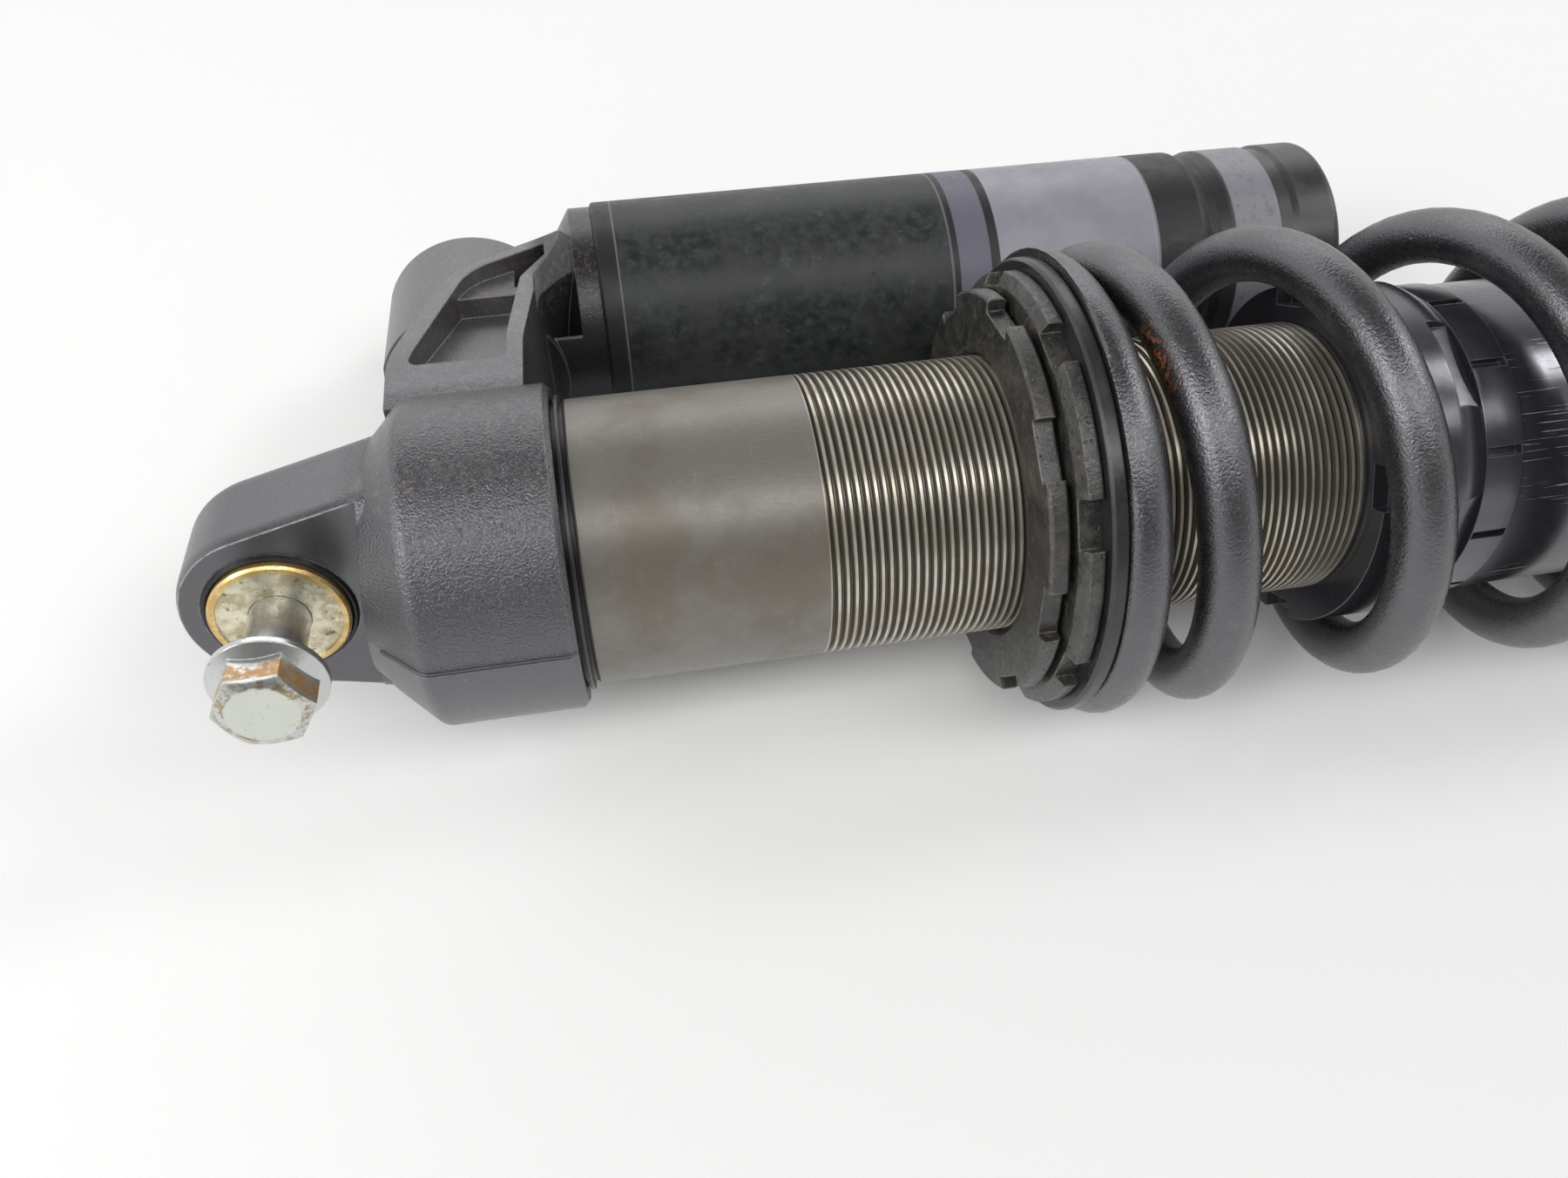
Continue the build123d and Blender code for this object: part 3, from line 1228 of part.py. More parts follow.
PIECES = [
    upper_cap,
    cap_seal_ring,
    upper_bush,
    upper_seals,
    upper_sleeve,
    mounting_bolt,
    body_tube,
    reservoir_tube,
    head_o_ring,
    reservoir_plug,
    plug_o_ring,
    reservoir_cover,
    gas_valve,
    valve_cap,
    floating_piston,
    float_o_ring,
    compression_valve,
    compression_knob,
    lock_ring,
    preload_ring,
    spring_seat,
    tender_spring,
    crossover_collar,
    coupler_sleeve,
    coupler_flange,
    main_spring,
    seal_head,
    seal_head_o_ring,
    rod_bushing,
    rod_seal,
    retaining_ring,
    dust_cap,
    rod_wiper,
    rod,
    rebound_rod,
    piston,
    piston_band,
    compression_shims,
    rebound_shims,
    piston_nut,
    top_out_bumper,
    bump_stop,
    bump_cup,
    lower_retainer,
    lower_eye,
    lower_bush,
    lower_seals,
    lower_sleeve,
    rebound_knob,
]


def roll_angle():
    """Turn about the damper that sets springs and reservoir on one floor: both then touch the same plane."""
    spacing = math.hypot(RESERVOIR_Y, RESERVOIR_Z)
    own_angle = math.atan2(RESERVOIR_Y, -RESERVOIR_Z)
    tilt = own_angle + math.asin((SPRING_R - RESERVOIR_R) / spacing)
    return 90 - math.degrees(tilt)


def settle(shapes):
    """Lays the shock down and puts the origin under its middle, on the floor."""
    laid = {name: Rot(roll_angle(), 0, 0) * shape for name, shape in shapes.items()}
    boxes = [shape.bounding_box() for shape in laid.values()]
    low = Vector(*(min(getattr(box.min, axis) for box in boxes) for axis in "XYZ"))
    high = Vector(*(max(getattr(box.max, axis) for box in boxes) for axis in "XYZ"))
    middle = (low + high) / 2
    shift = Pos(-middle.X, -middle.Y, -low.Z)
    return {name: shift * shape for name, shape in laid.items()}


def main():
    os.makedirs("parts", exist_ok=True)
    drawn = {make.__name__: make() for make in PIECES}
    for name, shape in settle(drawn).items():
        export_step(shape, f"parts/{name}.step")


main()
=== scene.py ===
import json
import math

import bmesh
import bpy
import numpy as np
from mathutils import Matrix, Vector


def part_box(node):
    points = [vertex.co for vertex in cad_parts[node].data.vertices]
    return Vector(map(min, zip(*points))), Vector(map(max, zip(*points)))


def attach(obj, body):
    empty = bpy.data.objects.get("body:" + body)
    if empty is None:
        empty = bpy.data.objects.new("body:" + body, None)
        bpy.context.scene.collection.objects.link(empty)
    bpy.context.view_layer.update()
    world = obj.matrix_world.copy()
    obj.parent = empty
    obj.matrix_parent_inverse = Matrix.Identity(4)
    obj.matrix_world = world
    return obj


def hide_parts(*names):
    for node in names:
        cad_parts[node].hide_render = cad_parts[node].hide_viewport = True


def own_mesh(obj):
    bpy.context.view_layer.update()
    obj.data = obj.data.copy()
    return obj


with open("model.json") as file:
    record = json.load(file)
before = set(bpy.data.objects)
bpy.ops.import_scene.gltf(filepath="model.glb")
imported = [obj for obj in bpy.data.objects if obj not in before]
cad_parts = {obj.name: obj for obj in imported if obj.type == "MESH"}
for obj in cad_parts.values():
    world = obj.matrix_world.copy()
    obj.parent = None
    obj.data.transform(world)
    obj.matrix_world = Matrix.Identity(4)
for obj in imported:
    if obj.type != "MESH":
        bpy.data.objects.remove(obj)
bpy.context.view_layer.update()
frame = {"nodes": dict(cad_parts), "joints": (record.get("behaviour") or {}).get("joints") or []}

# ---- The damper's own axes: +X down the damper from the upper eye, +Z along the upper bolt ----------------
MM = 0.001
JOINTS = {joint["name"]: joint for joint in frame["joints"]}
EYE = Vector(JOINTS["upper_pivot_turn"]["pos_m"])
ALONG = Vector((1, 0, 0))
BOLT_WAY = Vector(JOINTS["upper_pivot_turn"]["axis"])
SQUARE = BOLT_WAY.cross(ALONG)
OWN_AXES = Matrix((ALONG, SQUARE, BOLT_WAY)).transposed()

# ---- Sizes in millimetres along those axes -----------------------------------------------------------
TUBE_R = 25.5
TUBE_BORE_R = 23.0
TUBE_END_CHAMFER = 0.6
CUP_FACE = 49.0
NECK_R = 24.9
NECK_END = CUP_FACE + 2.0
NECK_CHAMFER = 0.5
RING_GROOVE_DEPTH = 0.9

THREAD_PITCH = 1.5
THREAD_START = 91.7
THREAD_DEPTH = 0.75
THREAD_SIDES = 120
THREAD_PROFILE = ((0.0, 1.0), (0.16, 1.0), (0.42, 0.0), (0.74, 0.0))  # shares of the pitch and the depth

SPRING_R = 43.6
TENDER = {"wire": 10.0, "pitch": 36.0, "total": 6.0, "tip": -153.0}
MAIN = {"wire": 12.0, "pitch": 40.0, "total": 8.5, "tip": 20.0}
COIL_CLEARANCE = 0.15  # between the turns of a closed end
GROUND_SHARE = 0.31  # of the wire, at each end
COIL_STEPS = 60
WIRE_SIDES = 24
SMOOTH_METAL_ANGLE = 35
SMOOTH_COIL_ANGLE = 50

# ---- Zones of the finishes and of painted light and shade: first and last station, radius or angle --------
CUP_STATIONS = (14.0, CUP_FACE)
CUP_FAR_SIDE = (-20.0, -15.0)
ABOVE_PARTING = (-0.4, 0.6)
BRIDGE_SIDE = (-32.0, -26.0)
HEAD_STATIONS = (46.0, 50.0)
HEAD_SIDE = (-42.0, -34.0)
MILLED_DEPTH = (8.9, 9.2)
CHIPPED_DEPTH = (8.3, 9.6)
DUSTY_HEIGHT = (15.0, 26.0)
PANEL = (64.9, 132.6)
VIOLET_STRIPE = (134.6, 141.4)
GREY_STRIPE = (143.4, 178.0)
GREY_STRIPE_RIM = (177.8, 178.6)
PANEL_SEAM = (64.3, 64.7)
STRIPE_SEAM = (132.8, 133.3)
PLUG_PAINTED_SHADOW = (192.0, 196.2)
RUST_STATIONS = (142.0, 147.2)
RUST_ANGLES = (0.28, 0.56)
RUST_RADII = (40.6, 42.0)
COUPLER_R = 29.5
SCORED_FROM = (212.5, 214.0)
BOLT_TOP = 32.6
BOLT_FLATS = (27.7, 31.3)
BOLT_FACE_R = (5.5, 5.8)
BOLT_FLATS_R = (5.6, 6.2)
SLEEVE_LIP_R = (9.9, 10.3)


def span(node):
    """First and last station of a node along the damper."""
    low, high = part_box(node)
    return (low.x - EYE.x) / MM, (high.x - EYE.x) / MM


def to_frame(points):
    """Points on the damper's own axes, turned into the frame's metres."""
    return np.asarray(points, float) * MM @ np.array(OWN_AXES).T + np.array(EYE)


# ---- Meshes ------------------------------------------------------------------------------------------
def piece(name, points, faces, sharp_angle):
    """Smooth mesh of points in millimetres; edges sharper than an angle in degrees stay sharp."""
    mesh = bpy.data.meshes.new(name)
    mesh.from_pydata(to_frame(points).tolist(), [], faces)
    work = bmesh.new()
    work.from_mesh(mesh)
    bmesh.ops.remove_doubles(work, verts=work.verts, dist=1e-7)
    bmesh.ops.recalc_face_normals(work, faces=work.faces)
    work.to_mesh(mesh)
    work.free()
    mesh.shade_smooth()
    mesh.set_sharp_from_angle(angle=math.radians(sharp_angle))
    made = bpy.data.objects.new(name, mesh)
    bpy.context.scene.collection.objects.link(made)
    return made


def ring_points(outline, sides):
    """Points of a turned outline, one ring of them for each (x, radius)."""
    turn = np.arange(sides) * 2 * math.pi / sides
    rings = [np.stack([np.full(sides, x), r * np.cos(turn), r * np.sin(turn)], 1) for x, r in outline]
    return np.concatenate(rings)


def ring_faces(count, sides, first=0):
    """Faces that join each of a count of rings to the next one."""
    faces = []
    for i in range(count - 1):
        a, b = first + i * sides, first + (i + 1) * sides
        for j in range(sides):
            k = (j + 1) % sides
            faces.append((a + j, a + k, b + k, b + j))
    return faces


def helix_points(steps, thread_end):
    """The thread's profile at each step of its helix, clipped to the plain tube at both ends."""
    step = np.arange(steps + 1)
    turn = step * 2 * math.pi / THREAD_SIDES
    rows = []
    for share, depth in THREAD_PROFILE:
        x = THREAD_START - THREAD_PITCH + THREAD_PITCH * (step / THREAD_SIDES + share)
        r = np.full(len(step), TUBE_R - THREAD_DEPTH * depth)
        r[(x <= THREAD_START) | (x >= thread_end)] = TUBE_R
        x = np.clip(x, THREAD_START, thread_end)
        rows.append(np.stack([x, r * np.cos(turn), r * np.sin(turn)], 1))
    return np.stack(rows, 1).reshape(-1, 3)


def helix_faces(steps):
    """Faces along the profile of each step, and from its last row to the first row one turn on."""
    rows = len(THREAD_PROFILE)
    faces = []
    for step in range(steps):
        for row in range(rows):
            a, b = step * rows + row, (step + 1) * rows + row
            if row + 1 < rows:
                faces.append((a, b, b + 1, a + 1))
            elif step + 1 + THREAD_SIDES <= steps:
                c, d = (step + 1 + THREAD_SIDES) * rows, (step + THREAD_SIDES) * rows
                faces.append((a, b, c, d))
    return faces


def threaded_tube():
    """Damper body with its thread cut as one long helix."""
    start, end = span("body_tube")
    groove, groove_end = span("retaining_ring")
    thread_end = end - THREAD_PITCH
    steps = round(((thread_end - THREAD_START) / THREAD_PITCH + 2) * THREAD_SIDES)
    thread = helix_points(steps, thread_end)
    plain = [
        (THREAD_START, TUBE_R),
        (NECK_END + NECK_CHAMFER, TUBE_R),
        (NECK_END, TUBE_R - NECK_CHAMFER),
        (NECK_END, NECK_R),
        (CUP_FACE, NECK_R),
        (CUP_FACE, TUBE_R),
        (start, TUBE_R),
        (start, TUBE_BORE_R),
        (groove, TUBE_BORE_R),
        (groove, TUBE_BORE_R + RING_GROOVE_DEPTH),
        (groove_end, TUBE_BORE_R + RING_GROOVE_DEPTH),
        (groove_end, TUBE_BORE_R),
        (end, TUBE_BORE_R),
        (end, TUBE_R - TUBE_END_CHAMFER),
        (end - TUBE_END_CHAMFER, TUBE_R),
        (thread_end, TUBE_R),
    ]
    points = np.concatenate([thread, ring_points(plain, THREAD_SIDES)])
    faces = helix_faces(steps) + ring_faces(len(plain), THREAD_SIDES, first=len(thread))
    return piece("body_tube_threaded", points, faces, SMOOTH_METAL_ANGLE)


def coil_rise(turns, closed, pitch, total):
    """Rise of the wire: one closed turn, one of growing pitch, open turns, and the same back."""

    def from_end(n):
        if n <= 1:
            return closed * n
        if n <= 2:
            return closed * n + (pitch - closed) * (n - 1) ** 2 / 2
        return closed * 2 + (pitch - closed) / 2 + pitch * (n - 2)

    half = total / 2
    if turns <= half:
        return from_end(turns)
    return 2 * from_end(half) - from_end(total - turns)


def coil(name, start, wire, pitch, total, tip):
    """Compression spring of round wire with closed ends ground flat."""
    closed = wire + COIL_CLEARANCE
    mean_r = SPRING_R - wire / 2
    first = start - GROUND_SHARE * wire
    end = start + coil_rise(total, closed, pitch, total) - 2 * GROUND_SHARE * wire
    count = round(total * COIL_STEPS)
    section = np.arange(WIRE_SIDES) * 2 * math.pi / WIRE_SIDES
    near = 0.01  # turns before and after a step, between which the wire's slope is taken
    points = []
    for i in range(count + 1):
        turns = total * i / count
        angle = math.radians(tip + 360 * turns)
        x = first + coil_rise(turns, closed, pitch, total)
        ahead = coil_rise(min(turns + near, total), closed, pitch, total)
        behind = coil_rise(max(turns - near, 0), closed, pitch, total)
        slope = math.atan2(ahead - behind, 2 * near * 2 * math.pi * mean_r)
        out = np.array([0, math.cos(angle), math.sin(angle)])
        way = np.array([0, -math.sin(angle), math.cos(angle)])
        up = np.array([math.cos(slope), 0, 0]) - way * math.sin(slope)
        axial = np.sin(section) * wire / 2
        radial = np.cos(section) * wire / 2
        for low, sign in ((start - x, 1), (x - end, -1)):
            cut = axial * sign * math.cos(slope) < low
            chord = math.sqrt(max((wire / 2) ** 2 - low**2, 0))
            axial = np.where(cut, low * sign / math.cos(slope), axial)
            radial = np.where(cut, np.clip(radial, -chord, chord), radial)
        centre = np.array([x, 0, 0]) + out * mean_r
        points.append(centre + np.outer(radial, out) + np.outer(axial, up))
    faces = ring_faces(count + 1, WIRE_SIDES)
    faces.append(tuple(range(WIRE_SIDES))[::-1])
    faces.append(tuple(count * WIRE_SIDES + j for j in range(WIRE_SIDES)))
    return piece(name, np.concatenate(points), faces, SMOOTH_COIL_ANGLE)


# ---- Materials ---------------------------------------------------------------------------------------
def srgb(*levels):
    """Colour written as 0 to 255 levels."""
    return tuple((v / 255 / 12.92) if v <= 10 else ((v / 255 + 0.055) / 1.055) ** 2.4 for v in levels)


class Finish:
    """A Principled material and short ways to feed it with nodes, in the damper's own millimetres."""

    def __init__(self, name, **sockets):
        self.material = bpy.data.materials.new(name)
        self.material.use_nodes = True
        self.tree = self.material.node_tree
        self.shader = self.tree.nodes["Principled BSDF"]
        coords = self.node("ShaderNodeTexCoord")
        mapping = self.node("ShaderNodeMapping", vector_type="TEXTURE")
        self.tree.links.new(coords.outputs["Object"], mapping.inputs["Vector"])
        mapping.inputs["Location"].default_value = EYE
        mapping.inputs["Rotation"].default_value = OWN_AXES.to_euler()
        mapping.inputs["Scale"].default_value = (MM, MM, MM)
        self.here = mapping.outputs["Vector"]
        split = self.node("ShaderNodeSeparateXYZ")
        self.tree.links.new(self.here, split.inputs[0])
        self.x, self.y, self.z = split.outputs
        for socket, value in sockets.items():
            self.set(socket, value)

    def node(self, kind, **settings):
        made = self.tree.nodes.new(kind)
        for key, value in settings.items():
            setattr(made, key, value)
        return made

    def put(self, value, socket):
        """Feed a socket with another node's output or a plain value."""
        if isinstance(value, bpy.types.NodeSocket):
            self.tree.links.new(value, socket)
        elif isinstance(value, tuple) and len(value) == 3 and socket.type == "RGBA":
            socket.default_value = (*value, 1)
        else:
            socket.default_value = value

    def set(self, socket, value):
        self.put(value, self.shader.inputs[socket])

    def math(self, operation, a, b=0.0):
        made = self.node("ShaderNodeMath", operation=operation)
        self.put(a, made.inputs[0])
        self.put(b, made.inputs[1])
        return made.outputs[0]

    def times(self, first, *others):
        """Product of two or more shares."""
        for other in others:
            first = self.math("MULTIPLY", first, other)
        return first

    def level(self, value, low, high, start=0.0, end=1.0):
        """Smooth step from start to end as the value goes from low to high."""
        made = self.node("ShaderNodeMapRange", interpolation_type="SMOOTHSTEP")
        sockets = ("Value", "From Min", "From Max", "To Min", "To Max")
        for given, socket in zip((value, low, high, start, end), sockets):
            self.put(given, made.inputs[socket])
        return made.outputs[0]

    def below(self, value, low, high):
        """1 up to low, falling to 0 at high."""
        return self.level(value, low, high, 1.0, 0.0)

    def between(self, value, low, high, soft=0.1):
        """1 inside a band of stations and 0 outside it."""
        after = self.level(value, low - soft, low + soft)
        before = self.below(value, high - soft, high + soft)
        return self.times(after, before)

    def mix(self, share, a, b):
        """Colour a turning into colour b as the share goes from 0 to 1."""
        made = self.node("ShaderNodeMix", data_type="RGBA")
        self.put(share, made.inputs["Factor"])
        colours = [socket for socket in made.inputs if socket.type == "RGBA"]
        self.put(a, colours[0])
        self.put(b, colours[1])
        return [socket for socket in made.outputs if socket.type == "RGBA"][0]

    def tint(self, base, where, amount, colour):
        """A base colour with some of another one laid over it where a mask is 1."""
        return self.mix(self.times(where, amount), base, colour)

    def blend(self, share, a, b):
        """Number a turning into number b as the share goes from 0 to 1."""
        made = self.node("ShaderNodeMix", data_type="FLOAT")
        self.put(share, made.inputs[0])
        self.put(a, made.inputs[2])
        self.put(b, made.inputs[3])
        return made.outputs[0]

    def vector(self, x, y):
        made = self.node("ShaderNodeCombineXYZ")
        self.put(x, made.inputs[0])
        self.put(y, made.inputs[1])
        return made.outputs[0]

    def noise(self, scale, detail=2.0, roughness=0.5, stretch=(1, 1, 1), where=None):
        """Noise whose patches are about 1 / scale millimetres across."""
        place = self.node("ShaderNodeMapping")
        self.put(where or self.here, place.inputs["Vector"])
        place.inputs["Scale"].default_value = stretch
        made = self.node("ShaderNodeTexNoise")
        self.put(place.outputs[0], made.inputs["Vector"])
        made.inputs["Scale"].default_value = scale
        made.inputs["Detail"].default_value = detail
        made.inputs["Roughness"].default_value = roughness
        return made.outputs["Fac"]

    def spots(self, scale, size, keep):
        """Round specks of a size in millimetres; keep is the share of the pattern's cells that has one."""
        made = self.node("ShaderNodeTexVoronoi")
        self.put(self.here, made.inputs["Vector"])
        made.inputs["Scale"].default_value = scale
        speck = self.below(made.outputs["Distance"], size * scale * 0.6, size * scale)
        chosen = self.node("ShaderNodeSeparateColor")
        self.tree.links.new(made.outputs["Color"], chosen.inputs[0])
        return self.times(speck, self.math("LESS_THAN", chosen.outputs[0], keep))

    def distance(self, a, b):
        """Distance from an axis, from the two coordinates across it."""
        return self.math("SQRT", self.math("ADD", self.times(a, a), self.times(b, b)))

    def edge(self, width, low=0.02, high=0.25):
        """1 along convex and concave edges within a width in millimetres."""
        bevel = self.node("ShaderNodeBevel", samples=6)
        bevel.inputs["Radius"].default_value = width * MM
        geometry = self.node("ShaderNodeNewGeometry")
        dot = self.node("ShaderNodeVectorMath", operation="DOT_PRODUCT")
        self.tree.links.new(bevel.outputs[0], dot.inputs[0])
        self.tree.links.new(geometry.outputs["Normal"], dot.inputs[1])
        return self.below(dot.outputs["Value"], 1 - high, 1 - low)

    def bump(self, height, distance, strength=1.0, rounding=0.0):
        """Bump of a height in millimetres, over edges rounded to a radius in millimetres."""
        made = self.node("ShaderNodeBump")
        made.inputs["Strength"].default_value = strength
        made.inputs["Distance"].default_value = distance * MM
        self.put(height, made.inputs["Height"])
        if rounding:
            bevel = self.node("ShaderNodeBevel", samples=6)
            bevel.inputs["Radius"].default_value = rounding * MM
            self.tree.links.new(bevel.outputs[0], made.inputs["Normal"])
        self.tree.links.new(made.outputs[0], self.shader.inputs["Normal"])


def casting():
    """Black coated die casting: pebbled above the parting line, milled flat on the lug's faces."""
    f = Finish("casting_black", Metallic=0.0)
    pebble = f.noise(2.5, 2.0, 0.5)
    fine = f.noise(3.2, 2.0, 0.5)
    wide = f.noise(0.06, 3.0, 0.6)
    geometry = f.node("ShaderNodeNewGeometry")
    facing = f.node("ShaderNodeVectorMath", operation="DOT_PRODUCT")
    f.tree.links.new(geometry.outputs["True Normal"], facing.inputs[0])
    facing.inputs[1].default_value = BOLT_WAY
    flat = f.math("ABSOLUTE", facing.outputs["Value"])
    depth = f.math("ABSOLUTE", f.z)
    milled = f.times(f.level(flat, 0.96, 0.99), f.below(depth, *MILLED_DEPTH))
    cup = f.times(f.level(f.y, *ABOVE_PARTING), f.between(f.x, *CUP_STATIONS, 1.5))
    cup = f.times(cup, f.level(f.z, *CUP_FAR_SIDE))
    arm_painted_light = f.below(f.z, *BRIDGE_SIDE)
    head_painted_shade = f.times(f.level(f.x, *HEAD_STATIONS), f.below(f.z, *HEAD_SIDE))
    hollow_shade = f.blend(f.level(pebble, 0.42, 0.62), 0.9, 0.0)
    dust = f.times(f.level(f.noise(0.8, 4.0, 0.7), 0.48, 0.66), f.level(f.y, *DUSTY_HEIGHT))
    chipped = f.level(f.noise(0.45, 4.0, 0.7), 0.34, 0.52)
    chipped = f.times(f.edge(0.6), f.between(depth, *CHIPPED_DEPTH, 0.2), chipped)
    base = f.mix(wide, srgb(42, 42, 44), srgb(56, 55, 57))
    # painted light: the arm toward the reservoir gets a lighter copy of the casting's colour
    base = f.mix(arm_painted_light, base, f.mix(wide, srgb(58, 57, 57), srgb(76, 74, 73)))
    # painted shade: the pebble's hollows on the cup are darkened
    base = f.tint(base, cup, hollow_shade, srgb(38, 38, 42))
    base = f.mix(milled, base, srgb(28, 30, 33))
    # painted shade: the reservoir head gets a darker copy of the casting's colour
    base = f.mix(head_painted_shade, base, srgb(32, 32, 35))
    base = f.tint(base, dust, 0.26, srgb(138, 122, 108))
    base = f.tint(base, f.spots(0.5, 0.14, keep=0.3), 0.5, srgb(196, 192, 188))
    # painted highlight: a pale line along every edge of the casting
    base = f.tint(base, f.edge(0.5), 0.35, srgb(176, 173, 174))
    f.set("Base Color", f.mix(chipped, base, srgb(232, 230, 230)))
    f.set("IOR", f.blend(head_painted_shade, 2.15, 1.65))
    sheen = f.level(fine, 0.3, 0.7, 0.27, 0.37)
    f.set("Roughness", f.blend(milled, sheen, f.level(wide, 0.3, 0.7, 0.20, 0.30)))
    f.set("Specular Tint", srgb(250, 248, 255))
    rough = f.blend(cup, f.times(fine, 0.35), pebble)
    f.bump(f.times(rough, f.blend(milled, 1.0, 0.06)), 0.21, 1.0, rounding=0.5)
    return f.material


def body_metal():
    """Hard-anodised tube, faintly bronze, with bright worn thread crests."""
    f = Finish("body_anodised", IOR=1.6)
    radius = f.distance(f.y, f.z)
    wrap = f.vector(f.x, f.times(f.math("ARCTAN2", f.z, f.y), TUBE_R))
    threaded = f.level(f.x, THREAD_START - 0.4, THREAD_START + 0.1)
    crest = f.level(radius, TUBE_R - THREAD_DEPTH * 0.16, TUBE_R - 0.02)
    root_shade = f.below(radius, TUBE_R - THREAD_DEPTH, TUBE_R - THREAD_DEPTH * 0.75)
    stain = f.level(f.noise(0.055, 4.0, 0.6), 0.40, 0.66)
    fine = f.noise(2.4, 3.0, 0.6)
    brushed = f.noise(1.0, 3.0, 0.6, stretch=(0.5, 3.0, 1.0), where=wrap)
    scuff = f.level(f.noise(0.5, 5.0, 0.75, stretch=(1.0, 0.25, 1.0), where=wrap), 0.58, 0.78)
    plain = f.mix(stain, srgb(128, 125, 120), srgb(112, 104, 94))
    plain = f.mix(f.level(brushed, 0.35, 0.65, 0.0, 0.35), plain, srgb(108, 102, 94))
    plain = f.tint(plain, scuff, 0.30, srgb(168, 166, 160))
    plain = f.tint(plain, f.spots(0.22, 0.22, keep=0.25), 0.6, srgb(72, 68, 62))
    worn = f.mix(f.level(f.noise(0.12, 3.0, 0.6), 0.35, 0.65), srgb(204, 199, 187), srgb(178, 169, 150))
    thread = f.mix(crest, srgb(124, 119, 110), worn)
    # painted shade: the thread's roots are darkened
    thread = f.tint(thread, root_shade, 0.7, srgb(66, 62, 55))
    base = f.mix(threaded, plain, thread)
    # painted shadow: the neck beside the cup's face is painted near black
    f.set("Base Color", f.mix(f.below(f.x, NECK_END, NECK_END + 0.3), base, srgb(20, 20, 22)))
    f.set("Metallic", f.blend(threaded, 0.30, 0.60))
    rough = f.math("ADD", f.level(fine, 0.3, 0.7, 0.33, 0.43), f.times(stain, 0.05))
    f.set("Roughness", f.blend(threaded, rough, 0.30))
    f.bump(fine, 0.014, 0.7)
    return f.material


def reservoir_skin():
    """Clouded black film around the reservoir, then a violet and a grey stripe."""
    f = Finish("reservoir_black", Metallic=0.0, IOR=1.45)
    blotch = f.noise(0.42, 5.0, 0.68)
    cloud = f.level(f.noise(0.10, 4.0, 0.6), 0.42, 0.64)
    bloom = f.level(f.noise(0.25, 4.0, 0.7), 0.58, 0.70)
    panel = f.between(f.x, *PANEL, 0.2)
    stripe = f.between(f.x, *GREY_STRIPE, 0.15)
    seams = f.math("ADD", f.between(f.x, *PANEL_SEAM, 0.1), f.between(f.x, *STRIPE_SEAM, 0.15))
    film = f.mix(f.level(blotch, 0.36, 0.66), srgb(32, 35, 38), srgb(54, 58, 55))
    film = f.tint(film, cloud, 0.55, srgb(58, 60, 56))
    film = f.tint(film, bloom, 0.35, srgb(84, 94, 98))
    film = f.tint(film, f.spots(0.13, 0.8, keep=0.2), 0.7, srgb(22, 23, 25))
    black = f.mix(f.noise(0.3, 3.0, 0.6), srgb(28, 29, 31), srgb(42, 43, 45))
    grey = f.mix(f.level(f.noise(0.08, 3.0, 0.6), 0.35, 0.65), srgb(138, 137, 147), srgb(150, 149, 158))
    base = f.mix(panel, black, film)
    base = f.mix(f.between(f.x, *VIOLET_STRIPE, 0.15), base, srgb(104, 103, 116))
    base = f.mix(stripe, base, grey)
    base = f.tint(base, seams, 0.55, srgb(128, 128, 134))
    base = f.tint(base, f.between(f.x, *GREY_STRIPE_RIM, 0.2), 0.5, srgb(176, 176, 182))
    f.set("Base Color", base)
    f.set("Roughness", f.math("ADD", f.level(blotch, 0.35, 0.7, 0.40, 0.54), f.times(stripe, -0.06)))
    f.bump(f.math("ADD", f.times(blotch, 0.7), f.times(panel, 0.5)), 0.05, 0.5, rounding=0.4)
    return f.material


def grey_band():
    """Grey band around the plug, with a painted shadow in the narrow part beside the reservoir."""
    f = Finish("grey_band", Metallic=0.0)
    worn = f.level(f.noise(0.4, 4.0, 0.7), 0.5, 0.75)
    base = f.mix(worn, srgb(132, 131, 138), srgb(104, 103, 108))
    # painted shadow: near black in the narrow part beside the reservoir
    f.set("Base Color", f.mix(f.between(f.x, *PLUG_PAINTED_SHADOW, 0.3), base, srgb(46, 46, 48)))
    f.set("Roughness", f.level(f.noise(1.2, 3.0, 0.6), 0.3, 0.7, 0.34, 0.46))
    f.bump(f.noise(1.5, 2.0, 0.6), 0.02, 0.5, rounding=0.4)
    return f.material


def satin_black(name, dark, light, rough, wear, worn=(140, 138, 136)):
    """Smooth dark coating, rubbed pale along its edges."""
    f = Finish(name, Metallic=0.0, IOR=1.6)
    patch = f.noise(0.12, 4.0, 0.65)
    base = f.mix(f.level(patch, 0.35, 0.68), srgb(*dark), srgb(*light))
    f.set("Base Color", f.tint(base, f.edge(0.4), wear, srgb(*worn)))
    f.set("Roughness", f.level(patch, 0.3, 0.7, rough - 0.05, rough + 0.08))
    f.bump(f.noise(1.4, 3.0, 0.6), 0.03, 0.8, rounding=0.4)
    return f.material


